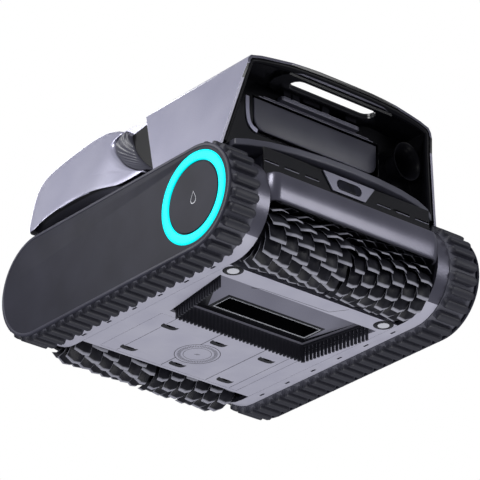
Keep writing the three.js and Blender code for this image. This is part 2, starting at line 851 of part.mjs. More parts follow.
/** The upper body's envelope, open-ended at the front, shrunk by a distance. */
function bodyEnvelope(shrink) {
  const sideView = [
    [-400, 0],
    [shellRear, 0],
    [shellRear, 250],
    [231, 272],
    [205, 284],
    [160, 291],
    [110, 292],
    [60, 287],
    [20, 279],
    [-10, 277],
    [-45, 282],
    [-85, 289.5],
    [-130, 292],
    [-400, 292],
  ];
  // The wide front part ends at the leaning front edge of the side scoops
  const wideSide = [
    [-400, 0],
    [-120.4, 0],
    [6.5, 290],
    [10.9, 300],
    [-400, 300],
  ];
  const narrow = box(-shellRearHalfWidth + shrink, shellRearHalfWidth - shrink, -400, 400, 0, 400);
  return common(
    prismX(inset(sideView, shrink), -300, 300),
    prismY(inset(bodyFrontView, shrink), -400, 400),
    join(prismX(inset(wideSide, shrink), -300, 300), narrow),
  );
}

/** Everything behind the leaning, bowed front edge, set back by a distance. */
function behindFront(setback) {
  const lean = [
    [-187, 0],
    [300, 0],
    [300, 400],
    [-236, 400],
    [-224, 300],
    [-212, 272],
    [-205.5, 248],
    [-189.5, 165],
    [-187, 150],
  ];
  const bow = mirrored([
    [0, -222],
    [60, -220.5],
    [91, -218.5],
    [121, -215.5],
    [148, -212],
    [230, -205],
    [230, 400],
  ]);
  return common(
    prismX(lean.map(([y, z]) => [y + setback, z]), -300, 300),
    prismZ(bow.map(([x, y]) => [x, y + setback]), 0, 400),
  );
}

/** The recess around the carry slot, grown sideways and down by a distance. */
function pocketBlock(grow) {
  const middle = (pocketFront + pocketRear) / 2;
  const halfWidth = (pocketRear - pocketFront) / 2;
  return prismZ(
    capsule(0, middle, pocketHalfLength + grow, halfWidth + grow),
    pocketFloor - grow,
    400,
  );
}

/** The hollow inside the upper body, shrunk by a distance and clear of the slot's recess. */
function bodyHollow(shrink) {
  return cut(bodyEnvelope(shrink), pocketBlock(shrink));
}

const lidX = tubHalfWidth - tubWall - 1;
const lidFront = tubFront + tubWall + 1;
const lidRear = tubRear - tubWall - 1;
const slot = (grow) =>
  prismZ(
    capsule(0, (slotFront + slotRear) / 2, slotHalfWidth + grow,
      (slotRear - slotFront) / 2 + grow),
    220,
    320,
  );
const scoopHoleSide = [
  [-48, 195],
  [-28, 195],
  [-4, 250],
  [-24, 250],
];
const scoopHoles = [-1, 1].map((side) =>
  sidePrism(side, scoopHoleSide, scoopHoleInner, scoopHoleOuter),
);
const powerButtonHole = rodZ(powerButtonRadius + gap, 220, 320, powerButtonX, powerButtonY, 24);
const shell = cut(
  common(bodyEnvelope(0), behindFront(0), box(-300, 300, -300, 300, shellBottom, 400)),
  bodyHollow(shellWall),
  pocketBlock(0),
  box(-lidX, lidX, lidFront, lidRear, 200, 320),
  slot(0),
  powerButtonHole,
  ...scoopHoles,
);
add('upper_shell', 'shellSilver', shell);

// Black lining of the front cavity, with the skimmer opening in its back wall
const liner = cut(
  common(
    bodyHollow(shellWall + gap),
    behindFront(linerSetback),
    box(-300, 300, -300, linerBack, chinTop + gap, 400),
  ),
  common(
    bodyHollow(shellWall + gap + linerWall),
    box(-300, 300, -400, linerBack - linerWall, 0, 400),
  ),
  box(-flapHalfWidth - skimmerHoleSideGap, flapHalfWidth + skimmerHoleSideGap,
    linerBack - linerWall - 1, linerBack + 1,
    skimmerFlapBottom - 8, skimmerFlapTop + skimmerHoleTopGap),
  slot(gap),
  rodZ(powerButtonRadius + 1, 260, 320, powerButtonX, powerButtonY, 24),
);
add('cavity_liner', 'innerBlack', liner);

const skimmerFlap = box(-flapHalfWidth, flapHalfWidth, linerBack - linerWall, linerBack,
  skimmerFlapBottom, skimmerFlapTop);
add('skimmer_flap', 'frameGrey', skimmerFlap);

const latchBack = linerBack - linerWall - gap;
add('handle_latch', 'frameGrey',
  box(-latchHalfWidth, latchHalfWidth, latchBack - latchDepth, latchBack,
    latchBottom, latchBottom + latchHeight));

// Rear fenders and the ribbed lips of the side scoops
const fenderOutline = [
  [-3.5, 264],
  [20, 270],
  [42, 274.5],
  [60, 272],
  [69, 263],
  [66, 252],
  [50, 231],
  [28, 208],
  [-12, 184.5],
  [-30, 180],
  [-30, 177],
  [30, 178],
  [47, 183],
  [85, 192],
  [128, 197],
  [170, 196.5],
  [207, 192],
  [226, 180],
  [237, 187],
  [240, 247],
  [231, 272],
  [186, 285.5],
  [150, 292],
  [123, 295],
  [92, 294],
  [55, 285],
  [25, 276],
  [-1, 270],
];
const fenderPocket = [
  [75, 197],
  [128, 203],
  [172, 202],
  [212, 197],
  [228, 192],
  [233, 200],
  [234, 245],
  [226, 266],
  [184, 279],
  [122, 288],
  [92, 287],
  [74, 280],
  [76, 262],
];
const lipOutline = [
  [2, 264],
  [20, 268.5],
  [42, 272.5],
  [58, 270],
  [66.5, 262.5],
  [64, 252.5],
  [48.5, 233],
  [26.5, 210],
  [-10, 188],
  [-25, 183],
  [-22, 190],
  [-8, 198],
  [14, 214],
  [34, 236],
  [46, 252],
  [47, 258],
  [40, 261],
  [20, 258],
  [4, 254],
];

function makeFender(side, label) {
  const inner = shellRearHalfWidth + gap;
  const panel = common(
    sidePrism(side, fenderOutline, inner, 230),
    prismY(fenderFrontView, -300, 300),
  );
  const pocket = common(
    sidePrism(side, fenderPocket, inner - 1, 230),
    prismY(inset(fenderFrontView, fenderWall), -300, 300),
  );
  add(`${label}_fender`, 'shellSilver', cut(panel, pocket));
  add(`${label}_scoop_lip`, 'frameGrey', sidePrism(side, lipOutline, inner, inner + lipDepth));
}

makeFender(-1, 'left');
makeFender(1, 'right');

// ---------------------------------------------------------------- filter chamber, lid, pump

const tubTop = common(
  box(-tubHalfWidth, tubHalfWidth, tubFront, tubRear, tubBottom, 400),
  bodyEnvelope(shellWall + gap),
);
const tub = cut(
  tubTop,
  box(-tubHalfWidth + tubWall, tubHalfWidth - tubWall, tubFront + tubWall, tubRear - tubWall,
    tubBottom + tubWall, 400),
  box(-mouthHalfWidth - ductWall - gap, mouthHalfWidth + ductWall + gap,
    mouthFront - ductWall - gap, mouthRear + ductWall + gap, 0, tubBottom + tubWall + 1),
  box(-flapHalfWidth + 8, flapHalfWidth - 8, tubFront - 1, tubFront + tubWall + 1,
    skimmerFlapBottom - 8, skimmerFlapTop - 6),
  box(-28, 28, tubRear - tubWall - 1, tubRear + 1, 168, 196),
);
add('filter_tub', 'innerBlack', tub);

const basketX = tubHalfWidth - tubWall - basketGap;
const basketFront = tubFront + tubWall + basketGap;
const basketRear = tubRear - tubWall - basketGap;
const basketBottom = tubBottom + tubWall + gap;
const basketFlapHole = box(-mouthHalfWidth - 4, mouthHalfWidth + 4,
  mouthFront - 4, mouthRear + 5, 0, basketBottom + basketWall + 1);
const basket = cut(
  box(-basketX, basketX, basketFront, basketRear, basketBottom, basketTop),
  box(-basketX + basketWall, basketX - basketWall, basketFront + basketWall,
    basketRear - basketWall, basketBottom + basketWall, basketTop + 1),
  basketFlapHole,
  box(-flapHalfWidth + 12, flapHalfWidth - 12, basketFront - 1, basketFront + basketWall + 1,
    skimmerFlapBottom, basketTop - 6),
);
add('filter_basket', 'partWhite', basket);

const hingeY = lidRear - hingePinRadius - gap;
const lidSlab = cut(
  common(
    bodyEnvelope(0),
    box(-lidX + lidGap, lidX - lidGap, lidFront + lidGap, hingeY - hingePinRadius - gap, 200, 400),
  ),
  bodyEnvelope(shellWall),
);
const lidButtonY = lidFront + 16;
const lid = cut(
  lidSlab,
  box(-lidButtonHalfWidth - gap, lidButtonHalfWidth + gap,
    lidButtonY - lidButtonHalfDepth - gap, lidButtonY + lidButtonHalfDepth + gap, 200, 400),
);
add('top_lid', 'shellSilver', lid);
add('lid_button', 'innerBlack',
  box(-lidButtonHalfWidth, lidButtonHalfWidth, lidButtonY - lidButtonHalfDepth,
    lidButtonY + lidButtonHalfDepth, lidButtonTop - buttonThickness, lidButtonTop));
add('lid_hinge_pin', 'motorSteel',
  rodX(hingePinRadius, -hingePinHalfLength, hingePinHalfLength, hingeY, hingePinZ, 12));
add('power_button', 'innerBlack',
  rodZ(powerButtonRadius, powerButtonTop - buttonThickness - 4, powerButtonTop,
    powerButtonX, powerButtonY, 24));

add('pump_motor', 'motorSteel',
  rodZ(pumpMotorRadius, pumpMotorBottom + gap, pumpMotorTop, 0, pumpY, 32));
const housingProfile = [
  [driveShaftRadius, pumpHousingBottom],
  [pumpHousingRadius, pumpHousingBottom],
  [pumpHousingRadius, pumpHousingBottom + pumpHousingHeight],
  [pumpHousingRadius - 3, pumpHousingBottom + pumpHousingHeight],
  [pumpHousingRadius - 3, pumpHousingBottom + 3],
  [driveShaftRadius, pumpHousingBottom + 3],
  [driveShaftRadius, pumpHousingBottom],
];
add('pump_housing', 'innerBlack', turnedZ(housingProfile, 0, pumpY));
const impellerBottom = pumpHousingBottom + 6;
const blades = [];
for (let i = 0; i < 4; i += 1) {
  const blade = box(6, impellerRadius - 1, -1.5, 1.5, impellerBottom + 1, impellerBottom + impellerHeight);
  blades.push(blade.rotateZ((i * Math.PI) / 2).translate(0, pumpY, 0));
}
add('pump_impeller', 'partWhite', join(
  rodZ(impellerRadius, impellerBottom, impellerBottom + 2, 0, pumpY, 32),
  rodZ(8, impellerBottom, impellerBottom + impellerHeight, 0, pumpY, 16),
  rodZ(driveShaftRadius - 1, pumpMotorTop + gap, impellerBottom + 1, 0, pumpY, 16),
  ...blades,
));

add('control_box', 'partWhite', box(-controlBoxHalfWidth, controlBoxHalfWidth,
  brushFrontY + brushPocketRadius + wall - 1, tubFront - gap * 2, 62, 140));

const rearCover = box(-130, 130, shellRear + gap, shellRear + 2.3, 172, 246);
add('rear_cover', 'partWhite', rearCover);

export default robot;
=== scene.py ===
# %% [markdown]
# # A tracked pool-cleaning robot
# The robot climbs floors and walls on two rubber tracks, sweeps with two bladed brushes and sucks
# the dirt through a mouth in its belly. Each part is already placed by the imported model, which is
# loaded here and never moved. This script gives every part its real surface and finish.

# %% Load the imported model
import json
import math

import bmesh
import bpy
import numpy as np
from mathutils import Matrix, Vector

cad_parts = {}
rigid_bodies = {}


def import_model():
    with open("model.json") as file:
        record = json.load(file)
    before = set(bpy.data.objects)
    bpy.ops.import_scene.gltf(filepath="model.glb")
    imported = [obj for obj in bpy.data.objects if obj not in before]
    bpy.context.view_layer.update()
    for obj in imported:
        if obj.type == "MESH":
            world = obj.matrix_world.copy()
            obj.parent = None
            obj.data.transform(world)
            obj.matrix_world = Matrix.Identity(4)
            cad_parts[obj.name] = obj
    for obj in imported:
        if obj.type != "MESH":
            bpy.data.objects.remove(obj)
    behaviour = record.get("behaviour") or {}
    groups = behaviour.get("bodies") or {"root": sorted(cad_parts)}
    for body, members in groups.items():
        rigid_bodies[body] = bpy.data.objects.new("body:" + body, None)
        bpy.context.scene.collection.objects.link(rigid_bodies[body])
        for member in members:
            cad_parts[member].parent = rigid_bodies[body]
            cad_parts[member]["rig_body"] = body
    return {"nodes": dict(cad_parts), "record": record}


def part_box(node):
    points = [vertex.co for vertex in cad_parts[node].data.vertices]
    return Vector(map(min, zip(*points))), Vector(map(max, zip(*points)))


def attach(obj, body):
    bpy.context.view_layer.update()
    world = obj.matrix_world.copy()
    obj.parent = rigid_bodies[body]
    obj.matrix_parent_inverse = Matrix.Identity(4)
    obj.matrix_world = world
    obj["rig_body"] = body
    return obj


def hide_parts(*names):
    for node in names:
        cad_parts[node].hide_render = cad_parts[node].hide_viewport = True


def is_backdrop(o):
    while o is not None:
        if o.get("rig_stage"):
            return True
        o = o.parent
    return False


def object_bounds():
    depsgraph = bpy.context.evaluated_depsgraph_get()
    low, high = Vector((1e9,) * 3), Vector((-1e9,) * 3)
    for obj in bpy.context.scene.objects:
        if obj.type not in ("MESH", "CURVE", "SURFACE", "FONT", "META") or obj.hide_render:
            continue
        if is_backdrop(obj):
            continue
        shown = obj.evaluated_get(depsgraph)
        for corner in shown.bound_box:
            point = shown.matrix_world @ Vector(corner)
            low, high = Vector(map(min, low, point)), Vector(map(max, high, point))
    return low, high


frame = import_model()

cad_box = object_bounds()
MM = 0.001
record = frame["record"]

# %% [markdown]
# ## Colours and nodes
# Plastic makers quote colours as sRGB, which is how they look on a screen. Blender works in linear
# light, so one function turns a hex value into linear numbers. A second one adds a shader node with
# its settings and its links. A finish is then one pattern for its colour and one for its grain.

# %% Colour and node helpers
def linear(colour):
    """sRGB hex to linear RGBA: c / 12.92 below 0.04045, above it ((c + 0.055) / 1.055) ^ 2.4."""
    c = np.array([int(colour[i:i + 2], 16) for i in (1, 3, 5)]) / 255
    light = np.where(c <= 0.04045, c / 12.92, ((c + 0.055) / 1.055) ** 2.4)
    return (*light.tolist(), 1.0)


def add_node(tree, kind, settings=None, links=None):
    """Adds one node: settings are its properties or socket values, links are socket to output."""
    node = tree.nodes.new(kind)
    for key, value in (settings or {}).items():
        if isinstance(key, str) and hasattr(node, key):
            setattr(node, key, value)
        else:
            node.inputs[key].default_value = value
    for key, output in (links or {}).items():
        tree.links.new(output, node.inputs[key])
    return node


def start_material(name, **sockets):
    """A Principled material with its even values on its sockets; gives it and its node tree."""
    material = bpy.data.materials.new(name)
    material.use_nodes = True
    tree = material.node_tree
    for key, value in sockets.items():
        tree.nodes["Principled BSDF"].inputs[key.replace("_", " ")].default_value = value
    add_node(tree, "ShaderNodeTexCoord")
    return material, tree


def pattern(tree, kind, size_mm, output="Fac", **settings):
    """Any texture in the piece's own coordinates, with features about size_mm across."""
    settings["Scale"] = 1 / (size_mm * MM)
    place = tree.nodes["Texture Coordinate"].outputs["Object"]
    return add_node(tree, "ShaderNodeTex" + kind, settings, {"Vector": place}).outputs[output]


def dress(tree, tint, dark, light, span=(0.3, 0.7), grain=None, rough=None, relief=None,
          socket="Base Color"):
    """Colour runs from dark to light as the tint crosses its span. The grain, from 0 to 1, drives
    the roughness between two values and a relief given as its strength and its depth in mm."""
    shader = tree.nodes["Principled BSDF"]
    ramp = add_node(tree, "ShaderNodeValToRGB", links={0: tint})
    for element, position, colour in zip(ramp.color_ramp.elements, span, (dark, light)):
        element.position, element.color = position, linear(colour)
    tree.links.new(ramp.outputs["Color"], shader.inputs[socket])
    if rough:
        ends = {"To Min": rough[0], "To Max": rough[1]}
        spread = add_node(tree, "ShaderNodeMapRange", ends, {"Value": grain})
        tree.links.new(spread.outputs["Result"], shader.inputs["Roughness"])
    if relief:
        depth = {"Strength": relief[0], "Distance": relief[1] * MM}
        bump = add_node(tree, "ShaderNodeBump", depth, {"Height": grain})
        tree.links.new(bump.outputs["Normal"], shader.inputs["Normal"])


# %% [markdown]
# ## Finishes
# Most of the robot is moulded ABS. The upper body is painted in silver with fine aluminium flakes
# under a clear coat, the chassis is light grey ABS with a fine spark-eroded grain, and the covers
# over the tracks are charcoal ABS with a satin grain. Treads, brushes and skirt are soft rubber.

# %% Painted and moulded plastics
def flake_paint(name, dark, light, metallic, coat):
    """Flake paint: 0.6 mm flakes, drawn coarser than real, tip the light; a clear coat on top."""
    material, tree = start_material(
        name, Metallic=metallic, IOR=1.5, Coat_Weight=coat, Coat_Roughness=0.12
    )
    cloud = pattern(tree, "Noise", 60, Detail=1.0)
    flakes = pattern(tree, "Voronoi", 0.6, "Distance")
    dress(tree, cloud, dark, light, grain=flakes, rough=(0.26, 0.36), relief=(0.05, 0.02))
    return material


def moulded(name, dark, light, roughness, grain_mm, depth_mm, coat=0.0, specular=0.5):
    """Moulded ABS: a spark-eroded grain from the mould and faint flow marks in the colour."""
    material, tree = start_material(
        name, IOR=1.53, Coat_Weight=coat, Coat_Roughness=0.2, Specular_IOR_Level=specular
    )
    flow = pattern(tree, "Noise", 45, Detail=2.0)
    grain = pattern(tree, "Noise", grain_mm, Detail=3.0)
    rough = (roughness - 0.06, roughness + 0.06)
    dress(tree, flow, dark, light, grain=grain, rough=rough, relief=(0.25, depth_mm))
    return material


silver_paint = flake_paint("silver_flake_paint_on_abs", "#adacc0", "#b8b7c9", 0.6, 0.35)
graphite_paint = flake_paint("graphite_flake_paint_on_abs", "#5c5b67", "#666571", 0.7, 0.25)
pewter_paint = flake_paint("pewter_flake_paint_on_abs", "#8b8a98", "#9594a2", 0.45, 0.2)
chassis_abs = moulded("light_grey_moulded_abs", "#b5b4c3", "#bfbecb", 0.36, 0.9, 0.03, 0.1)
cover_abs = moulded("charcoal_satin_abs", "#2a2a33", "#31313b", 0.44, 0.8, 0.03, 0, 0.07)
cover_edge_abs = moulded("charcoal_polished_abs", "#3a3a45", "#42424e", 0.36, 0.8, 0.02, 0, 0.12)
frame_abs = moulded("dark_grey_satin_abs", "#45454f", "#4e4e59", 0.34, 0.9, 0.025)
trim_abs = moulded("near_black_satin_abs", "#0d0d11", "#131317", 0.34, 0.9, 0.02, 0, 0.08)
gloss_abs = moulded("black_gloss_abs", "#08080b", "#0e0e12", 0.2, 1.4, 0.008, 0.1, 0.3)
white_abs = moulded("white_moulded_abs", "#cfd0d6", "#dcdde2", 0.4, 0.9, 0.03)


# %% Rubber
def rubber(name, dark, light, roughness, specular=0.35):
    """Moulded rubber: matt, a fine pebble from the mould, paler where its pale mark says so.
    The mark is a point attribute from 0 to 1: the valleys of a tread, and the cut edges of a blade,
    where it is a painted highlight."""
    material, tree = start_material(name, IOR=1.52, Specular_IOR_Level=specular)
    dust = pattern(tree, "Noise", 18, Detail=3.0)
    pebble = pattern(tree, "Noise", 0.8, Detail=4.0)
    mark = add_node(tree, "ShaderNodeAttribute", {"attribute_name": "pale_mark"}).outputs["Fac"]
    weights = {"operation": "MULTIPLY_ADD", 1: 0.2}
    tint = add_node(tree, "ShaderNodeMath", weights, {0: dust, 2: mark}).outputs[0]
    rough = (roughness - 0.08, roughness + 0.08)
    dress(tree, tint, dark, light, (0.1, 1.1), pebble, rough, (0.35, 0.08))
    return material


tread_rubber = rubber("tread_rubber", "#2c2c34", "#595963", 0.5)
# The brush rubber's pale end, #a0a0aa, is a painted highlight on the blades' cut edges.
brush_rubber = rubber("brush_rubber", "#1c1c22", "#a0a0aa", 0.4, 0.14)
skirt_rubber = rubber("skirt_rubber", "#2c2c33", "#4e4e59", 0.42)


# %% Lit ring, glass and metals
def turned_metal(name, dark, light, roughness):
    """Turned metal: fine tool marks, drawn 0.5 mm apart, along the X axis of the shafts."""
    material, tree = start_material(name, Metallic=1.0)
    marks = pattern(tree, "Wave", 0.5 * 6.28, Distortion=1.5)
    rough = (roughness - 0.05, roughness + 0.05)
    dress(tree, marks, dark, light, grain=marks, rough=rough, relief=(0.15, 0.02))
    return material


# Opal polycarbonate lit from behind: even cyan light with a slight fall at the LED spots.
ring_diffuser, tree = start_material(
    "opal_polycarbonate_lit_cyan", IOR=1.58, Roughness=0.3, Specular_IOR_Level=0.05,
    Emission_Strength=0.75,
)
spots = pattern(tree, "Noise", 14, Detail=1.0)
dress(tree, spots, "#00d8dc", "#00f0f2")
dress(tree, spots, "#00e8ee", "#00f6fa", (0, 1), socket="Emission Color")

# Dark coated glass of the sensor window: mirror-smooth with a faint blue lens coating.
sensor_glass, tree = start_material(
    "coated_sensor_glass", IOR=1.5, Roughness=0.12, Specular_IOR_Level=0.25
)
dress(tree, pattern(tree, "Noise", 12, Detail=0.0), "#0b0b10", "#1b1b26")
shaft_steel = turned_metal("stainless_steel_turned", "#8a8c91", "#a3a5aa", 0.3)
coil_copper = turned_metal("enamelled_copper_wire", "#9a5426", "#b8692f", 0.35)
print("finishes:", len(bpy.data.materials))

# %% [markdown]
# The basket's walls are a woven nylon mesh welded into a white frame. Real threads are 0.25 mm
# thick; here they are drawn 1.6 mm apart so that the weave shows. A sine wave runs along each axis,
# and there is thread where any of them is high.

# %% Basket mesh
THREAD_PITCH = 1.6
basket_mesh, tree = start_material("woven_nylon_mesh", IOR=1.53, Roughness=0.45)
place_in = tree.nodes["Texture Coordinate"].outputs["Object"]
along = add_node(tree, "ShaderNodeSeparateXYZ", links={0: place_in})
weave = None
for axis in ("X", "Y", "Z"):
    times = {"operation": "MULTIPLY", 1: 2 * math.pi / (THREAD_PITCH * MM)}
    angle = add_node(tree, "ShaderNodeMath", times, {0: along.outputs[axis]}).outputs[0]
    thread = add_node(tree, "ShaderNodeMath", {"operation": "SINE"}, {0: angle}).outputs[0]
    if weave:
        both = {0: weave, 1: thread}
        thread = add_node(tree, "ShaderNodeMath", {"operation": "MAXIMUM"}, both).outputs[0]
    weave = thread
dress(tree, weave, "#4d5058", "#c3c5cc", (0.6, 0.95), weave, relief=(0.4, 0.15))

# %% [markdown]
# ## Softened edges
# No moulded part has a knife edge: the mould has a small radius, which catches a thin highlight.
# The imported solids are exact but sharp, so a merged copy of each gets a rounded bevel of that
# radius, and faces that meet at a small angle are shaded as one curve.

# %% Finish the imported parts
SLOT_FINISH = {
    "shell_silver": silver_paint,
    "chassis_grey": chassis_abs,
    "cover_charcoal": cover_abs,
    "frame_grey": frame_abs,
    "inner_black": gloss_abs,
    "rubber_black": tread_rubber,
    "ring_cyan": ring_diffuser,
    "lens_dark": sensor_glass,
    "motor_steel": shaft_steel,
    "part_white": white_abs,
    "coil_copper": coil_copper,
}


def merged_copy(node):
    """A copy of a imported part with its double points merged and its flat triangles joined."""
    shape = bmesh.new()
    shape.from_mesh(frame["nodes"][node].data)
    bmesh.ops.remove_doubles(shape, verts=shape.verts, dist=0.01 * MM)
    bmesh.ops.dissolve_limit(
        shape, angle_limit=math.radians(0.6), verts=shape.verts, edges=shape.edges
    )
    mesh = bpy.data.meshes.new(node)
    shape.to_mesh(mesh)
    shape.free()
    return mesh


def second_finish(mesh, materials, rule):
    """Gives faces later materials: rule takes face centres in mm and normals, returns indices."""
    for material in materials:
        mesh.materials.append(material)
    centre, normal = np.zeros((2, len(mesh.polygons) * 3))
    mesh.polygons.foreach_get("center", centre)
    mesh.polygons.foreach_get("normal", normal)
    index = rule(centre.reshape(-1, 3) / MM, normal.reshape(-1, 3))
    mesh.polygons.foreach_set("material_index", np.asarray(index, np.int32))


def add_object(name, data):
    """Puts a mesh, light or camera into the scene."""
    thing = bpy.data.objects.new(name, data)
    bpy.context.scene.collection.objects.link(thing)
    return thing


def show(mesh, name, material, slot, body="hull", stands_for=(), sharp=35):
    """Makes a mesh a piece: shades it smooth below the sharp angle and seats it on its body."""
    mesh.name = name
    if not mesh.materials:
        mesh.materials.append(material)
    mesh.shade_smooth()
    mesh.set_sharp_from_angle(angle=math.radians(sharp))
    piece = add_object(name, mesh)
    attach(piece, body)
    if stands_for:
        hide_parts(*stands_for)
    return piece


def round_edges(piece, radius_mm):
    """A bevel in two steps rounds the edges where faces meet at more than 35 degrees."""
    bevel = piece.modifiers.new("mould_radius", "BEVEL")
    bevel.width = radius_mm * MM
    bevel.segments = 2
    bevel.limit_method = "ANGLE"
    bevel.angle_limit = math.radians(35)
    bevel.harden_normals = True


def soften(node, radius_mm, material=None, finishes=None):
    """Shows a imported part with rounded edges; finishes is a list of materials and their rule."""
    slot, body = SLOT_OF[node], frame["nodes"][node]["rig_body"]
    mesh = merged_copy(node)
    if finishes:
        second_finish(mesh, *finishes)
    piece = show(mesh, node + "_moulded", material or SLOT_FINISH[slot], slot, body, [node])
    round_edges(piece, radius_mm)


SLOT_OF = {row["node"]: row["material_slot"] for row in record["subparts"]}
print("slots:", sorted(set(SLOT_OF.values())))

# %% [markdown]
# ## Surfaces from two parameters
# A new piece is a grid of points worked out as whole numpy arrays. Points (n, m, 3) become quads,
# and a grid may wrap round on either side to close a loop. Several grids join into one mesh.

# %% Grid helpers
def xyz(x, y, z):
    """Three coordinate arrays as one array of points, each stretched to the common shape."""
    return np.stack(np.broadcast_arrays(x, y, z), axis=-1)


def full_turn(count):
    """Evenly spaced angles once round."""
    return np.linspace(0, 2 * math.pi, count, endpoint=False)


def grid_faces(rows, columns, wrap_rows=False, wrap_columns=False):
    """Quads between neighbours (i, j), (i, j+1), (i+1, j+1), (i+1, j), with i, j taken modulo."""
    i = np.arange(rows if wrap_rows else rows - 1)[:, None]
    j = np.arange(columns if wrap_columns else columns - 1)[None, :]
    i2, j2 = (i + 1) % rows, (j + 1) % columns
    corners = [i * columns + j, i * columns + j2, i2 * columns + j2, i2 * columns + j]
    return np.stack(corners, axis=-1).reshape(-1, 4)


def closed_grid(points):
    """Points and quads of a grid that wraps round both ways."""
    return points.reshape(-1, 3), grid_faces(*points.shape[:2], True, True)


def tubes(profiles):
    """Many closed tubes at once: profiles is (count, rings, around, 3); both ends are capped.
    An end ring of k points is closed by quads that pair point a with point k - 1 - a."""
    count, rings, around, _ = profiles.shape
    side = grid_faces(rings, around, wrap_columns=True)
    a = np.arange(around // 2 - 1)
    cap = np.stack([a, around - 1 - a, around - 2 - a, a + 1], axis=-1)
    one = np.concatenate([side, cap, cap[:, ::-1] + (rings - 1) * around])
    shift = (np.arange(count) * rings * around)[:, None, None]
    return profiles.reshape(-1, 3), (one[None] + shift).reshape(-1, 4)


def joined(*parts):
    """Several (points, quads) pairs as one, each with its quads shifted past earlier points."""
    points, quads = zip(*parts)
    starts = np.cumsum([0] + [len(p) for p in points])
    return np.concatenate(points), np.concatenate([q + start for q, start in zip(quads, starts)])


def mesh_from(name, points, quads):
    """A mesh from points in millimetres and quads."""
    mesh = bpy.data.meshes.new(name)
    mesh.vertices.add(len(points))
    mesh.vertices.foreach_set("co", (np.asarray(points) * MM).astype(np.float32).ravel())
    mesh.loops.add(quads.size)
    mesh.loops.foreach_set("vertex_index", quads.astype(np.int32).ravel())
    mesh.polygons.add(len(quads))
    mesh.polygons.foreach_set("loop_start", np.arange(0, quads.size, 4, dtype=np.int32))
    mesh.update(calc_edges=True)
    mesh.validate()
    return mesh


def pale_mark(mesh, values):
    """Stores a number from 0 to 1 at each point, which the rubber turns to a paler tone; on a
    blade's edges this is a painted highlight.
    """
    layer = mesh.attributes.new("pale_mark", "FLOAT", "POINT")
    layer.data.foreach_set("value", np.ascontiguousarray(values, np.float32).ravel())


def facing_out(mesh):
    """Turns every closed shell's faces outwards after merging its double points."""
    shape = bmesh.new()
    shape.from_mesh(mesh)
    bmesh.ops.remove_doubles(shape, verts=shape.verts, dist=0.002 * MM)
    bmesh.ops.recalc_face_normals(shape, faces=shape.faces)
    shape.to_mesh(mesh)
    shape.free()
    return mesh


def place(name, parts, material, slot, body="hull", radius_mm=0.0, stands_for=(), sharp=35,
          finishes=None):
    """Makes one piece of (points, quads), faces outwards, and rounds its edges if asked."""
    mesh = facing_out(mesh_from(name, *parts))
    if finishes:
        second_finish(mesh, *finishes)
    piece = show(mesh, name, material, slot, body, stands_for, sharp)
    if radius_mm:
        round_edges(piece, radius_mm)


def box_mm(node):
    """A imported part's lowest and highest corner in millimetres, as numpy arrays."""
    low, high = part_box(node)
    return np.array(low) / MM, np.array(high) / MM


# %% [markdown]
# ## The path round a track
# Belt, cover and rim all follow the same racetrack: two half circles joined by straight runs. A
# distance along it gives a centre on the line between the axles and an outward angle, and a point
# lies at any radius from that centre. With no straight run the same function turns a ring.

# %% Track path
drive_low, drive_high = box_mm("left_drive_wheel")
idler_low, idler_high = box_mm("left_idler_wheel")
belt_low, belt_high = box_mm("left_track_belt")
FRONT_AXLE_Y = (drive_low[1] + drive_high[1]) / 2
REAR_AXLE_Y = (idler_low[1] + idler_high[1]) / 2
AXLE_Z = (drive_low[2] + drive_high[2]) / 2
TREAD_RADIUS = belt_high[2] - AXLE_Z


def racetrack(distance, radius, reference, front, rear):
    """Centre y runs front to rear and back; the angle turns from -90 to 90 to 270 degrees.
    y = centre + radius * cos(angle), z = axle height + radius * sin(angle)."""
    run, bend = rear - front, math.pi * reference
    knots = np.cumsum([0, run, bend, run, bend])
    centre = np.interp(distance, knots, [front, rear, rear, front, front])
    angle = np.radians(np.interp(distance, knots, [-90, -90, 90, 90, 270]))
    return centre + radius * np.cos(angle), AXLE_Z + radius * np.sin(angle)


def sweep_track(profile, reference, front, rear, side, samples):
    """Carries a closed profile of (radius, depth in x) once round the racetrack."""
    run, bend = rear - front, math.pi * reference
    stops = np.linspace(0, bend, samples // 2, endpoint=False)
    distance = np.concatenate([[0], run + stops, 2 * run + bend + stops])
    distance = np.unique(np.round(distance, 6))[:, None]
    y, z = racetrack(distance, profile[:, 0], reference, front, rear)
    return closed_grid(xyz(side * profile[:, 1], y, z))


SIDES = ((-1, "left"), (1, "right"))
print(f"axles at y {FRONT_AXLE_Y:.1f} and {REAR_AXLE_Y:.1f} mm, tread radius {TREAD_RADIUS:.1f} mm")

# %% [markdown]
# ## Rubber tracks
# A track is one moulded loop. Its lugs are rounded bars across the belt, and the valley between two
# lugs has fine cross ribs that grip wet tiles. The belt is a height above the band: distance along
# the loop and place across it go in, and the height comes from how deep the point lies in a lug.

# %% Tracks
LUGS = 58
BAND_RADIUS = TREAD_RADIUS - 5.0
BELT_INNER_RADIUS = TREAD_RADIUS - 8.6
LUG_HALF_LENGTH = 21.6  # across the belt
LUG_HALF_WIDTH = 6.4  # along the belt
LUG_PROUD = 3.4  # the soft lug tops stand out past the hard belt, where real ones press flat on the floor
GRIP_RIB_PITCH = 2.3
RIBBED_HALF_WIDTH = LUG_HALF_LENGTH + 0.25
LUG_STOPS = np.array(
    [-0.5, -0.425, -0.365, -0.34, -0.315, -0.285, -0.18, 0, 0.18, 0.285, 0.315, 0.34, 0.365, 0.425]
)


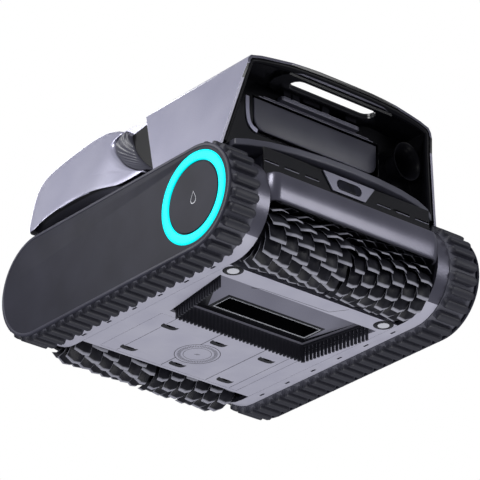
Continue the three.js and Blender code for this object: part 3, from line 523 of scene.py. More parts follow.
def lug_height(along, across):
    """Full height inside a stadium, rounded over its last 2 mm; ribs of 0.5 mm in the valley."""
    reach = np.maximum(np.abs(across) - (LUG_HALF_LENGTH - LUG_HALF_WIDTH), 0)
    depth = LUG_HALF_WIDTH - np.hypot(along, reach)
    step = np.clip(depth / 2.0, 0, 1)
    lug = (TREAD_RADIUS + LUG_PROUD - BAND_RADIUS) * np.sqrt(step * (2 - step))
    rib = 0.5 * (np.cos(2 * math.pi * across / GRIP_RIB_PITCH) > 0) * (depth < -0.3)
    rim = np.abs(across) > LUG_HALF_LENGTH + 0.2
    return np.where(rim, 0.0, np.maximum(lug, rib))


def make_belt(side, label):
    """Rows follow the stops of each lug; columns cross the tread, then return along the inside."""
    middle = side * (abs(belt_low[0]) + abs(belt_high[0])) / 2
    half = (belt_high[0] - belt_low[0]) / 2
    reference = (TREAD_RADIUS + BAND_RADIUS) / 2
    length = 2 * (REAR_AXLE_Y - FRONT_AXLE_Y) + 2 * math.pi * reference
    pitch = length / LUGS
    along = (np.arange(LUGS)[:, None] + LUG_STOPS[None, :]).ravel() * pitch
    phase = np.tile(LUG_STOPS * pitch, LUGS)
    ribs = np.arange(-RIBBED_HALF_WIDTH, RIBBED_HALF_WIDTH + 0.01, GRIP_RIB_PITCH / 2)
    across = np.concatenate([[-half], ribs, [half]])
    height = BAND_RADIUS + lug_height(phase[:, None], across)
    radius = np.concatenate([height, np.full((len(along), 2), BELT_INNER_RADIUS)], axis=1)
    x = middle + np.concatenate([across, [half, -half]])
    y, z = racetrack(np.mod(along, length)[:, None], radius, reference, FRONT_AXLE_Y, REAR_AXLE_Y)
    mesh = mesh_from(label + "_tread", *closed_grid(xyz(x, y, z)))
    pale_mark(mesh, 1 - np.clip((radius - BAND_RADIUS) / (TREAD_RADIUS - BAND_RADIUS), 0, 1))
    show(mesh, label + "_tread", tread_rubber, "rubber_black",
         stands_for=[label + "_track_belt"], sharp=50)
    print(label, "tread:", len(mesh.polygons), "quads, lug pitch", round(pitch, 2), "mm")


for side, label in SIDES:
    make_belt(side, label)

# %% [markdown]
# ## Brushes
# Each roller carries two rubber sleeves. A sleeve is a core with rows of leaf blades that lean back
# and slant towards the middle, so that dirt is swept to the mouth. A blade is a thin plate of width
# u and length v. It leans as its angle grows with v, and its tip comes to a point off its middle.

# %% Brush blades
BLADE_COLUMNS = 6
BLADES_AROUND = 13
ROW_STAGGER = 0.37  # of the step between blades, from one column to the next
BLADE_LENGTH = 27.0
BLADE_LEAN = math.radians(50)
BLADE_REACH = 9.0  # the soft tips hang below the treads, where real ones bend against the floor
HUB_RADIUS = 9.0


def make_sleeve(node, body):
    """Point on a blade: radius = core + length * v - cut, angle = start + lean * v^1.4,
    x = column centre + half width * u + slant * v, from 3.4 mm thick at the root to 1.4 mm."""
    low, high = box_mm(node)
    centre_y, centre_z = (low[1] + high[1]) / 2, (low[2] + high[2]) / 2
    tip = (high[1] - low[1]) / 2 + BLADE_REACH
    core = tip - BLADE_LENGTH
    inward = -1 if (low[0] + high[0]) > 0 else 1
    pitch = (high[0] - low[0]) / BLADE_COLUMNS
    column, row = np.divmod(np.arange(BLADE_COLUMNS * BLADES_AROUND), BLADES_AROUND)
    start = 2 * math.pi * (row + ROW_STAGGER * column * inward) / BLADES_AROUND
    middle = low[0] + pitch * (column + 0.5)
    u = np.array([-1, -0.95, 0, 0.95, 1, 1, 0.95, 0, -0.95, -1.0])
    face = np.array([0.5, 1, 1, 1, 0.5, -0.5, -1, -1, -1, -0.5])
    v = np.array([0, 0.3, 0.6, 0.93, 0.975, 1.0])[:, None]
    cut = 8.0 * (np.abs(u - 0.35 * inward) / 1.35) ** 1.3
    radius = core - 1.5 + ((tip - core) * v - cut * v**2)
    thick = (1.7 - 1.0 * v) * face * np.where(v > 0.98, 0.6, 1)
    angle = start[:, None, None] + (BLADE_LEAN * v**1.4 + thick / np.maximum(radius, 1))
    x = middle[:, None, None] + pitch * (0.62 - 0.1 * v**3) * u + inward * 3.0 * v
    x = np.clip(x, low[0] + 0.2, high[0] - 0.2)
    blades = tubes(xyz(x, centre_y + radius * np.cos(angle), centre_z + radius * np.sin(angle)))
    # The blade's sides and tip get the pale mark: a painted highlight along its edges.
    edge = np.maximum(np.abs(u) > 0.97, v > 0.96) * (v > 0.4)
    turn = full_turn(48)
    ring_x = np.array([low[0], low[0], low[0] + 1.5, high[0] - 1.5, high[0], high[0]])[:, None]
    ring = np.array([HUB_RADIUS, core - 2, core, core, core - 2, HUB_RADIUS])[:, None]
    tube = closed_grid(xyz(ring_x, centre_y + ring * np.cos(turn), centre_z + ring * np.sin(turn)))
    mesh = mesh_from(node + "_sleeve", *joined(blades, tube))
    pale_mark(mesh, np.concatenate([np.tile(edge.ravel(), len(start)), np.zeros(len(tube[0]))]))
    show(facing_out(mesh), node + "_sleeve", brush_rubber, "rubber_black", body, [node], 40)
    print(node, "blades:", len(start))


for end in ("front", "rear"):
    for half in ("left", "right"):
        make_sleeve(f"{end}_brush_{half}", f"{end}_brush")

# %% [markdown]
# ## Side covers
# The cover is a smooth satin plate. A narrow raised rim follows its edge, and the lit ring sits
# round the front axle. Rim and ring are both closed profiles carried along the track path.

# %% Cover rim and lit ring
cover_low, cover_high = box_mm("left_side_cover")
ring_low, ring_high = box_mm("left_light_ring")
COVER_FACE = abs(cover_low[0])
COVER_EDGE = cover_high[2] - AXLE_Z
RING_OUTER = (ring_high[2] - ring_low[2]) / 2
RING_FACE = abs(ring_low[0])
RING_WIDTH = 13.6
RIM_WIDTH = 4.6


def dome(inner, outer, base, top, steps=7):
    """A closed profile: flat base from inner to outer radius, top rounded as half a cosine."""
    t = np.linspace(0, math.pi, steps)
    radius = (outer + inner) / 2 + (outer - inner) / 2 * np.cos(t)
    height = base + 0.4 * (top - base) + 0.6 * (top - base) * np.sin(t) ** 0.6
    return np.concatenate([[[inner, base], [outer, base]], np.stack([radius, height], axis=1)])


def drop_mark(side):
    """A plain water drop, outlined: z = 9 cos t, y = 7.5 sin t sin^1.6(t / 2), tip up at t = 0."""
    t = np.linspace(0, 2 * math.pi, 97)[:, None]
    scale, out = np.array([[0.86, 0.0], [1.04, 0.0], [1.0, 0.25], [0.9, 0.25]]).T
    y = FRONT_AXLE_Y + 7.5 * scale * np.sin(t) * np.abs(np.sin(t / 2)) ** 1.6
    return tubes(xyz(side * (COVER_FACE - 0.1 + out), y, AXLE_Z + 9.0 * scale * np.cos(t))[None])


ring_inner = RING_OUTER - RING_WIDTH
rim_profile = dome(COVER_EDGE - RIM_WIDTH, COVER_EDGE, COVER_FACE - 0.5, COVER_FACE + 0.6)
ring_profile = dome(ring_inner, RING_OUTER, COVER_FACE - 1.2, RING_FACE + 0.3, 13)
for side, label in SIDES:
    rim = sweep_track(rim_profile, COVER_EDGE, FRONT_AXLE_Y, REAR_AXLE_Y, side, 96)
    place(label + "_cover_rim", rim, cover_edge_abs, "cover_charcoal", sharp=60)
    ring = sweep_track(ring_profile, RING_OUTER, FRONT_AXLE_Y, FRONT_AXLE_Y, side, 128)
    place(label + "_lit_ring", ring, ring_diffuser, "ring_cyan",
          stands_for=[label + "_light_ring"], sharp=60)
for side, label in SIDES:
    place(label + "_drop_mark", drop_mark(side), white_abs, "shell_silver", sharp=60)
print(f"ring {ring_inner:.1f} to {RING_OUTER:.1f} mm, cover edge {COVER_EDGE:.1f} mm")

# %% [markdown]
# ## Plates, bars and strips
# Three more shapes serve the small details: a slab between a front and a back grid, a row of bars
# with rounded edges, and a strip that follows a line of points, whose corners may be smoothed.

# %% Slab, bar and strip helpers
def slab(front, back):
    """Closes two (n, m, 3) grids into one solid: both faces and a wall round the border."""
    rows, columns, _ = front.shape
    count = rows * columns
    index = np.arange(count).reshape(rows, columns)
    border = np.concatenate([index[0, :-1], index[:-1, -1], index[-1, :0:-1], index[:0:-1, 0]])
    following = np.roll(border, -1)
    wall = np.stack([border, following, following + count, border + count], axis=-1)
    faces = grid_faces(rows, columns)
    quads = np.concatenate([faces[:, ::-1], faces + count, wall])
    return np.concatenate([front.reshape(-1, 3), back.reshape(-1, 3)]), quads


def bars(centres, halves, yaw=0.0):
    """Boxes: corner = centre + (+-half x, +-half y, +-half z), each turned by yaw about z."""
    centres = np.atleast_2d(np.asarray(centres, float))
    halves = np.broadcast_to(np.asarray(halves, float), centres.shape)
    yaw = np.broadcast_to(np.asarray(yaw, float), (len(centres),))
    sign = np.array([[-1, -1, -1], [1, -1, -1], [1, 1, -1], [-1, 1, -1],
                     [-1, -1, 1], [1, -1, 1], [1, 1, 1], [-1, 1, 1]], float)
    x, y, z = np.moveaxis(sign[None] * halves[:, None, :], -1, 0)
    c, s = np.cos(yaw)[:, None], np.sin(yaw)[:, None]
    points = xyz(x * c - y * s, x * s + y * c, z) + centres[:, None, :]
    one = np.array([[0, 3, 2, 1], [4, 5, 6, 7], [0, 1, 5, 4], [1, 2, 6, 5], [2, 3, 7, 6],
                    [3, 0, 4, 7]])
    quads = one[None] + (np.arange(len(centres)) * 8)[:, None, None]
    return points.reshape(-1, 3), quads.reshape(-1, 4)


def ribbon(line, width, normal, thickness):
    """A flat strip along a line: sideways = normal x direction, edges at +- width / 2 along it."""
    line, normal = np.asarray(line, float), np.asarray(normal, float)
    sideways = np.cross(normal, np.gradient(line, axis=0))
    sideways /= np.linalg.norm(sideways, axis=1)[:, None]
    front = line[:, None, :] + sideways[:, None, :] * np.array([-0.5, 0.5])[None, :, None] * width
    return slab(front, front - normal * thickness)


def smooth_line(points, count):
    """Resamples a line of points at even distances, after three rounds of corner cutting:
    each corner becomes two points a quarter and three quarters along its sides."""
    line = np.asarray(points, float)
    for _ in range(3):
        near = 0.75 * line[:-1] + 0.25 * line[1:]
        far = 0.25 * line[:-1] + 0.75 * line[1:]
        middle = np.stack([near, far], axis=1).reshape(-1, line.shape[1])
        line = np.concatenate([line[:1], middle, line[-1:]])
    steps = np.concatenate([[0], np.cumsum(np.linalg.norm(np.diff(line, axis=0), axis=1))])
    even = np.linspace(0, steps[-1], count)
    return np.stack([np.interp(even, steps, column) for column in line.T], axis=1)


# %% [markdown]
# ## The hood
# The shell's outside is silver and its underside is black, a painted shade that makes the front
# opening look deep. A black lip as thick as a finger follows the opening's edge. Its place comes
# from the shell's front
# view: an arch of points moved inwards, and a lean that brings the top further forward.

# %% Hood lip
HOOD_ARCH = np.array([
    [185.5, 160], [178.5, 190], [171.3, 222], [165.5, 250], [160.5, 276], [156, 282],
    [140, 285.5], [91, 290], [45, 291.8], [0, 292],
])
LEAN = np.array([[150, -187], [165, -189.5], [248, -205.5], [272, -212], [300, -224]]).T
BOW = np.array([[0, -222], [60, -220.5], [91, -218.5], [121, -215.5], [148, -212], [230, -205]]).T
LIP_STATIONS = [(4.4, 1.0), (6.0, 0.3), (8.6, 0.9), (9.8, 2.6), (9.8, 6.0), (7.6, 8.0), (5.2, 6.0),
                (4.4, 4.0)]


def front_edge(x, z):
    """The hood's front: the further back of the lean at this height and the bow at this x."""
    return np.maximum(np.interp(z, *LEAN), np.interp(np.abs(x), *BOW))


def hood_band(stations):
    """A closed band along the arch. A station (inset, behind) is the arch moved inwards along its
    own normals, and back from the hood's front edge."""
    line = smooth_line(np.concatenate([HOOD_ARCH * [-1, 1], HOOD_ARCH[-2::-1]]), 90)
    direction = np.gradient(line, axis=0)
    inward = np.stack([direction[:, 1], -direction[:, 0]], axis=1)
    inward /= np.linalg.norm(inward, axis=1)[:, None]
    rows = []
    for inset, behind in stations:
        x, z = (line + inward * inset).T
        rows.append(xyz(x, front_edge(x, z) + behind, z))
    return tubes(np.stack(rows, axis=1)[None])


place("hood_lip", hood_band(LIP_STATIONS), trim_abs, "inner_black", sharp=60)
print(f"hood lip from x {-HOOD_ARCH[0, 0]:.0f} to {HOOD_ARCH[0, 0]:.0f} mm")

# %% [markdown]
# ## Inside the front opening
# Surface water and leaves enter here. A flap with rounded lower corners hangs over the way to the
# basket, a silver guide strip stands at its left, a round duct at its right, and the catch of the
# carry handle lies above it.

# %% Skimmer flap, guide strip and duct
flap_low, flap_high = box_mm("skimmer_flap")
WALL_Y = flap_low[1] + 0.6
FLAP_CORNER = 18.0
FLAP_GAP = 0.8


def flap_face(behind, inset):
    """x = u * half width, narrowed near the lower edge by a corner circle; y bulges by a sine."""
    u, v = np.linspace(-1, 1, 40), np.linspace(0, 1, 16)[:, None] ** 1.3
    tall = flap_high[2] - flap_low[2] - 2 * FLAP_GAP - 2 * inset
    straight = flap_high[0] - FLAP_GAP - FLAP_CORNER
    rise = np.minimum(v * tall, FLAP_CORNER)
    half = straight - inset + np.sqrt(FLAP_CORNER**2 - (FLAP_CORNER - rise) ** 2)
    bulge = 1.4 * np.sin(math.pi * v) * (1 - u**4)
    return xyz(np.maximum(half, straight) * u, flap_low[1] + 1.2 + behind - bulge,
               flap_low[2] + inset + v * tall)


place("flap_panel", slab(flap_face(0, 0), flap_face(2.4, 0)), frame_abs, "frame_grey",
      "skimmer_flap", 0.5, ["skimmer_flap"])
grid = flap_face(-0.5, 1.4)
rim_line = smooth_line(np.concatenate([grid[::-1, 0], grid[0], grid[:, -1]]), 120)
# A raised rim round the flap; its graphite paint, lighter than the panel, is a painted highlight
# along the outline.
place("flap_rim", ribbon(rim_line, 1.4, [0, -1, 0], 1.2), graphite_paint, "frame_grey",
      "skimmer_flap")
guide = [[-119.5, WALL_Y - 1.4, 256], [-120, WALL_Y - 2, 235], [-118.5, WALL_Y - 2.5, 219],
         [-113, WALL_Y - 3, 211], [-104, WALL_Y - 3, 207.5]]
guide = smooth_line(guide, 40)
place("guide_strip", ribbon(guide, 6.4, [0, -1, 0], 2.0), silver_paint, "shell_silver", "hull", 0.4)

# A bell turned about an axis along y: its radius grows with its reach, then folds back inside.
DUCT_X, DUCT_Z, DUCT_SQUASH = 137.0, 234.0, 0.86
reach = np.array([0, 6, 12, 18, 24, 28, 30, 30, 27, 23, 17, 11, 5, 0.0])[:, None]
radius = np.array([17, 17.5, 18.5, 20, 22.5, 25, 27, 28, 25, 22, 19, 17, 16, 15.5])[:, None]
turn = full_turn(64)
bell = xyz(DUCT_X + radius * np.cos(turn) * DUCT_SQUASH, WALL_Y + 1 - reach,
           DUCT_Z + radius * np.sin(turn))
place("suction_duct", closed_grid(bell), trim_abs, "inner_black", sharp=70)

# %% Handle catch
latch_low, latch_high = box_mm("handle_latch")
pads = bars(
    [[x, latch_high[1] - 1.1, latch_high[2] + 2.0] for x in (-52, -37, -10, 15, 60)],
    [[6, 1.0, 4.2], [6, 1.0, 4.2], [14, 1.0, 3.0], [6, 1.0, 4.2], [9, 1.0, 3.0]],
)
grooves = bars(
    [[0, latch_low[1] - 0.1, z] for z in np.linspace(latch_low[2] + 1, latch_high[2] - 1, 3)],
    [latch_high[0] - 3, 0.35, 0.5],
)
place("catch_pads", joined(pads, grooves), pewter_paint, "frame_grey", "handle_latch", 0.25)
rail = bars([[0, WALL_Y - 1.2, flap_high[2] + 1.4], [0, WALL_Y - 1.2, flap_high[2] + 3.6]],
            [[100, 0.6, 0.5], [92, 0.6, 0.5]])
place("flap_rails", rail, pewter_paint, "frame_grey", "hull", 0.2)
print("front opening dressed")

# %% [markdown]
# ## Skirt
# A rubber skirt round the back and sides of the mouth holds the dirt in the suction. Its back wall
# is one ribbed strip with a toothed lower edge. Its side walls are combs of upright slats hung from
# a bar, which let larger leaves through.

# %% Skirt
skirt_low, skirt_high = box_mm("intake_skirt")
SKIRT_HANG = 6.5  # how far the soft edge hangs below the treads
SLAT_PITCH = 6.4
skirt_front_x, skirt_rear_x = skirt_high[0] - 1.0, skirt_high[0] - 19.0


def back_wall():
    """Stations s along x; a rib stands out and reaches lower where cos(2 pi s / pitch) > 0."""
    s = np.arange(0, 2 * skirt_rear_x + 0.01, SLAT_PITCH / 6)[:, None]
    rib = np.clip(np.cos(2 * math.pi * s / SLAT_PITCH) * 1.6 + 0.4, 0, 1)
    out = np.array([1.2, 1.2, 1.2, -1.2, -1.2, -1.2])
    ribbed = np.array([1.0, 1.0, 0.4, -0.4, -1.0, -1.0])
    high = np.array([0.0, 0.6, 1.0, 1.0, 0.6, 0.0])
    bottom = skirt_low[2] - SKIRT_HANG + 2.4 * (1 - rib)
    y = skirt_high[1] - 2.2 - (out + 0.8 * ribbed * rib)
    return tubes(xyz(s - skirt_rear_x, y, bottom + (skirt_high[2] - bottom) * high)[None])


def comb_wall(side):
    """Slats every pitch from the front corner to the rear one, and the bar they hang from."""
    start = np.array([side * skirt_front_x, skirt_low[1] + 2.0])
    end = np.array([side * skirt_rear_x, skirt_high[1] - 2.0])
    length = np.linalg.norm(end - start)
    yaw = math.atan2(end[1] - start[1], end[0] - start[0])
    s = np.arange(SLAT_PITCH / 2, length, SLAT_PITCH)
    xy = start + (end - start) * (s / length)[:, None]
    bottom, top = skirt_low[2] - SKIRT_HANG, skirt_high[2]
    middle = np.full(len(s), (bottom + top) / 2)
    slats = bars(np.column_stack([xy, middle]), [1.7, 1.5, (top - bottom) / 2], yaw)
    centre = (start + end) / 2
    bar = bars([[*centre, top - 1.6]], [length / 2 + 1.5, 2.4, 1.5], yaw)
    lower = bars([[*centre, top - 9.5]], [length / 2, 0.9, 0.8], yaw)
    return joined(slats, bar, lower)


place("skirt_back", back_wall(), skirt_rubber, "rubber_black", "hull", 0.0, ["intake_skirt"], 40)
for side, label in SIDES:
    place(f"skirt_{label}_comb", comb_wall(side), skirt_rubber, "rubber_black", "hull", 0.3)
print("skirt slats every", SLAT_PITCH, "mm")

# %% [markdown]
# ## Underside
# The battery cover is three panels with narrow seams. A round mark shows where the wireless
# charging coil is: a thin groove and a ring of fine ticks. Finger wells open the cover, blackened
# as painted shade.

# %% Seams and charging mark
cover_bottom, cover_top = box_mm("battery_cover")
coil_low, coil_high = box_mm("charging_coil")
BELLY_Z = box_mm("bottom_chassis")[0][2]
SEAM, HAIRLINE = 0.8, 0.5
SEAM_OFFSET = 16.0
mark_x, mark_y = (coil_low[0] + coil_high[0]) / 2, (coil_low[1] + coil_high[1]) / 2
mark_radius = (coil_high[0] - coil_low[0]) / 2 + 1


def belly_line(points, z, width):
    """A thin dark inlay on the underside, 0.12 mm proud of it."""
    line = np.array([[x, y, z - 0.12] for x, y in points], float)
    if len(line) == 2:
        line = np.linspace(line[0], line[1], 8)
    return ribbon(line, width, [0, 0, -1], 0.5)


def circle(radius):
    turn = np.radians(np.linspace(0, 360, 97))
    return np.column_stack([mark_x + radius * np.cos(turn), mark_y + radius * np.sin(turn)])


def seam_lines():
    """On the cover: the seams, the mark's circles and its two strokes. On the chassis: a groove."""
    rear, front = cover_top[1] - 2, cover_bottom[1] + 2
    left = mark_x - SEAM_OFFSET
    reach = math.sqrt(mark_radius**2 - SEAM_OFFSET**2)
    on_cover = [
        ([[left, front], [left, mark_y - reach]], SEAM),
        ([[left, mark_y + reach], [left, rear]], SEAM), ([[62, front], [62, rear]], SEAM),
        ([[-92, front], [-92, rear]], HAIRLINE), ([[104, front], [104, rear]], HAIRLINE),
        (circle(mark_radius), SEAM), (circle(mark_radius * 0.62), HAIRLINE),
        ([[mark_x - 3, mark_y + 3], [mark_x + 1, mark_y - 1]], 0.7),
        ([[mark_x, mark_y + 3], [mark_x + 4, mark_y - 1]], 0.7),
    ]
    on_chassis = [[[-67, -125], [47, -128]], [[47, -128], [62, -150]], [[-67, -125], [-78, -119]]]
    return [belly_line(line, cover_bottom[2], width) for line, width in on_cover] + [
        belly_line(line, BELLY_Z, 0.6) for line in on_chassis
    ]


def tick_ring(count=72):
    """Short bars round the mark: centre at 0.81 of its radius, each turned to point outwards."""
    turn, radius = full_turn(count), 0.81 * mark_radius
    centre = xyz(mark_x + radius * np.cos(turn), mark_y + radius * np.sin(turn), cover_bottom[2])
    return bars(centre, [2.6, 0.28, 0.12], turn)


place("belly_seams", joined(*seam_lines(), tick_ring()), trim_abs, "inner_black")

# %% Mouth frame and belly trim
MOUTH = np.array([[-78, -75], [78, -75], [78, -42], [-78, -42], [-78, -75]], float)
MOUTH_Z = 8.4
WELL_SPOTS = [(x, y) for y in (42.6, 129.6) for x in (-83.4, 0.0, 83.4)]


def mouth_frame():
    """Four thin bars round the mouth's rim."""
    middle = (MOUTH[:-1] + MOUTH[1:]) / 2
    span = np.abs(np.diff(MOUTH, axis=0)) / 2 + 0.35
    return bars(xyz(*middle.T, MOUTH_Z), xyz(*span.T, 0.6))


def cap_well(label):
    """A black ring round a sensor cap, painted shade of its pit: a flat profile turned about the
    cap's upright axis.
    """
    low, high = box_mm(label + "_sensor_cap")
    x, y, _ = (low + high) / 2
    turn = full_turn(48)
    radius = np.array([8.2, 13.2, 13.8, 13.2, 8.2])[:, None]
    z = np.array([0, 0, 0.35, 0.7, 0.7])[:, None] + BELLY_Z - 0.3
    return closed_grid(xyz(x + radius * np.cos(turn), y + radius * np.sin(turn), z))


def finger_wells():
    """Half pills in black, painted shade in the wells: straight front edge, rounded rear corners (a
    superellipse), 0.15 mm proud.
    """
    turn = np.linspace(0, math.pi, 24)
    ring = np.column_stack([13.0 * np.sign(np.cos(turn)) * np.abs(np.cos(turn)) ** 0.5,
                            11.0 * np.abs(np.sin(turn)) ** 0.6])
    scale = np.linspace(0.02, 1, 5)[:, None, None]
    for x, y in WELL_SPOTS:
        flat = (ring[None] - [0, 5.0]) * scale + [x, y]
        across, along = np.moveaxis(flat, -1, 0)
        yield slab(*(xyz(across, along, cover_bottom[2] + lift) for lift in (-0.15, 0.2)))


place("mouth_frame", mouth_frame(), white_abs, "chassis_grey", "hull", 0.15)
place("cap_wells", joined(cap_well("left"), cap_well("right")), gloss_abs, "inner_black", sharp=60)
place("finger_wells", joined(*finger_wells()), gloss_abs, "inner_black")
print(f"charging mark radius {mark_radius:.1f} mm at ({mark_x:.0f}, {mark_y:.0f})")

# %% [markdown]
# ## Side scoops
# Water also enters through a scoop behind the hood on each side. A black plate in its throat is
# painted shade, and its lip is a strip with fine slanted ribs between an inner and an outer edge
# line.

# %% Scoops
SCOOP_INNER = [[41, 258.5], [33, 238], [16, 217], [-4, 200], [-26, 188]]
SCOOP_OUTER = [[44, 273.5], [64, 265], [61, 248], [46, 230], [25, 208.5], [-8, 187], [-26, 181.5]]
SIDE_INNER = 148.0
LIP_SAMPLES = 120


def scoop_lip(side):
    """Between the two edge lines (v across, u along): x swells by a sine, ribs add 0.7 mm."""
    inner, outer = smooth_line(SCOOP_INNER, LIP_SAMPLES), smooth_line(SCOOP_OUTER, LIP_SAMPLES)
    u, v = np.linspace(0, 1, LIP_SAMPLES)[:, None], np.linspace(0, 1, 12)[None, :]
    y = inner[:, 0:1] * (1 - v) + outer[:, 0:1] * v
    z = inner[:, 1:2] * (1 - v) + outer[:, 1:2] * v
    wide = np.interp(z, [180, 219, 278], [181, 173, 160])
    depth = 3 + (wide - SIDE_INNER - 5) * v**0.8
    ribs = 0.7 * np.clip(np.cos(2 * math.pi * (11 * u + 1.6 * v)) * 1.5, -1, 1)
    ribs = ribs * np.sin(math.pi * v) ** 0.3
    return slab(xyz(side * (SIDE_INNER + depth + ribs), y, z), xyz(side * (SIDE_INNER + 0.4), y, z))


def scoop_throat_shade(side):
    """A flat black plate, painted shade in the throat, between the body's leaning edge and the
    lip's inner edge.
    """
    lean = np.linspace([0.5, 275], [-48, 180], LIP_SAMPLES)
    inner = smooth_line([[48, 268], *SCOOP_INNER[1:]], LIP_SAMPLES)
    v = np.linspace(0, 1, 6)[None, :, None]
    y, z = np.moveaxis(lean[:, None, :] * (1 - v) + inner[:, None, :] * v, -1, 0)
    return slab(*(xyz(side * (SIDE_INNER + out), y, z) for out in (1.6, 0.4)))


FENDER_OUTLINE = [
    [66, 284], [92, 293.5], [123, 294.5], [150, 291.5], [186, 285], [229, 271.5], [239.5, 247],
    [238, 210], [236.5, 187], [226, 181], [207, 192], [170, 196.5], [128, 197], [85, 192],
    [47, 183], [30, 178], [-6, 177.5], [-27, 179], [-8, 186], [25, 207.5], [46, 229], [62, 248],
    [66, 264], [48, 274], [66, 284],
]
FENDER_CENTRE = np.array([130.0, 236.0])
FENDER_ROUND = 7.0
FENDER_SAMPLES = 240


def fender_skin(side):
    """Rings s from the centre to the outline, x = 221 - 0.222 z plus a swell behind the lip.
    Over the last 7 mm the skin rounds in: x falls by r - sqrt(r^2 - d^2)."""
    outline = smooth_line(FENDER_OUTLINE, FENDER_SAMPLES + 1)[:-1]
    arm = outline - FENDER_CENTRE
    span = np.linalg.norm(arm, axis=1)
    inwards = FENDER_ROUND * np.array([0, 0.02, 0.1, 0.25, 0.45, 0.7, 1.0])
    rim = 1 - inwards[:, None] / span
    s = np.concatenate([rim, rim[-1] * np.array([0.85, 0.7, 0.5, 0.3, 0.12, 0.006])[:, None]])
    y, z = np.moveaxis(FENDER_CENTRE + s[..., None] * arm[None], -1, 0)
    deep = np.clip(FENDER_ROUND - (1 - s) * span, 0, FENDER_ROUND)
    swell = 2.6 * np.exp(-(((y - 78) / 34) ** 2) - ((z - 238) / 44) ** 2)
    x = 221.0 - 0.222 * z - (FENDER_ROUND - np.sqrt(FENDER_ROUND**2 - deep**2)) + swell
    back = side * (SIDE_INNER + 0.4)
    points = [xyz(back, y[-1:], z[-1:]), xyz(back, *outline.T)[None], xyz(side * x, y, z)]
    return closed_grid(np.concatenate(points))


def fender_shade_rule(centre, normal):
    """Painted shade: black on the narrow wall that faces down over the tread, in the gap above the
    cover.
    """
    return ((normal[:, 2] < -0.45) & (centre[:, 2] < 200)).astype(int)


for side, label in SIDES:
    place(label + "_scoop_throat_shade", scoop_throat_shade(side), trim_abs, "inner_black")
    place(label + "_fender_skin", fender_skin(side), silver_paint, "shell_silver", "hull", 0.0,
          [label + "_fender"], 60, ([silver_paint, gloss_abs], fender_shade_rule))
    place(label + "_scoop_ribs", scoop_lip(side), frame_abs, "frame_grey", "hull", 0.0,
          [label + "_scoop_lip"], 50)
print("scoop ribs: 11 on each side")

# %% [markdown]
# ## Bumpers
# A bumper is a shallow bowl on its side: along its length it is straight with a quarter round at
# each end, and across its height it swells, so its lower half catches the light from the floor.

# %% Bumper skins
BUMPER_WALL = 4.0
BUMPER_SWELL = 3.4


def bumper_skin(name, end):
    """At height v the path moves out by swell * sin(pi v)^0.7 - lip, along its own normals."""
    low, high = box_mm(name)
    radius, face = high[1] - low[1], max(abs(low[1]), abs(high[1]))
    turn = np.linspace(0, math.pi / 2, 14)
    corner = np.column_stack([np.cos(turn), np.sin(turn)])
    x_mid = np.linspace(high[0] - radius, radius - high[0], 40)[1:-1]
    middle = np.column_stack([x_mid, np.full(len(x_mid), face)])
    right = corner * radius + [high[0] - radius, face - radius]
    path = np.concatenate([right, middle, right[::-1] * [-1, 1]])
    straight = np.tile([0.0, 1.0], (len(x_mid), 1))
    normal = np.concatenate([corner, straight, corner[::-1] * [-1, 1]])
    v = np.concatenate([[0, 0.02, 0.06, 0.12], np.linspace(0.2, 0.8, 9), [0.88, 0.94, 0.98, 1]])
    swell = BUMPER_SWELL * np.sin(math.pi * v) ** 0.7 - 0.8
    z = (low[2] + (high[2] - low[2]) * v)[:, None]
    sheets = []
    for offset in (swell, 0 * v - BUMPER_WALL + 0.6):
        flat = path[None] + normal[None] * offset[:, None, None]
        sheets.append(xyz(flat[..., 0], end * flat[..., 1], z))
    return slab(*sheets)


for name, end in (("front_bumper", -1), ("rear_bumper", 1)):
    place(name + "_skin", bumper_skin(name, end), graphite_paint, "frame_grey", "hull", 0.0,
          [name], 50)
strip_low, strip_high = box_mm("vent_strip")
bezel_half_width = box_mm("sensor_bezel")[1][0]
SLOT_PITCH, SLOT_HALF_LENGTH, SLOT_LIP_DROP = 34.0, 12.0, 1.7
lip_x = bezel_half_width + SLOT_PITCH * (np.arange(3) + 0.5)
lip_z = (strip_low[2] + strip_high[2]) / 2 - SLOT_LIP_DROP
lips = xyz(np.concatenate([lip_x, -lip_x]), strip_low[1] - 0.1, lip_z)
lips = bars(lips, [SLOT_HALF_LENGTH, 0.3, 0.45])
place("vent_lips", lips, pewter_paint, "frame_grey", "hull", 0.15)
print("bumper swell", BUMPER_SWELL, "mm, vent lips:", 2 * len(lip_x))

# %% [markdown]
# ## Rear outlet and lid
# Clean water leaves through louvres in the rear cover: slats tilted down, in front of a black sheet
# that is painted shade of the recess. The lid carries two long shallow ridges that stiffen it.

# %% Louvres and lid ridges
outlet_low, outlet_high = box_mm("rear_cover")
lid_low, lid_high = box_mm("top_lid")
LOUVRE_PITCH = 9.0


def louvres():
    """Rows every pitch; each slat's section is a leaning diamond swept from left to right."""
    rows = np.arange(outlet_low[2] + 10, outlet_high[2] - 8, LOUVRE_PITCH)[:, None, None]
    half = (outlet_high[0] - outlet_low[0]) / 2 - 16
    out, up = np.array([[2.6, -2.6], [3.4, -1.4], [0.4, 3.0], [-0.2, 2.2]]).T
    return tubes(xyz(np.linspace(-half, half, 40)[:, None], outlet_high[1] + 0.3 + out, rows + up))


wide, _, tall = (outlet_high - outlet_low) / 2
# A flat black sheet behind the louvres: painted shade of the recess.
recess = bars([0, outlet_high[1], (outlet_low[2] + outlet_high[2]) / 2], [wide - 13, 0.5, tall - 5])
place("outlet_recess", recess, gloss_abs, "inner_black", "hull", 0.3)
place("outlet_louvres", louvres(), pewter_paint, "frame_grey", sharp=50)
LID_TOP = np.array([[-100, -85, -45, -10, 20, 60, 110, 125],
                    [291, 289.5, 282, 277, 279, 287, 292, 292]])


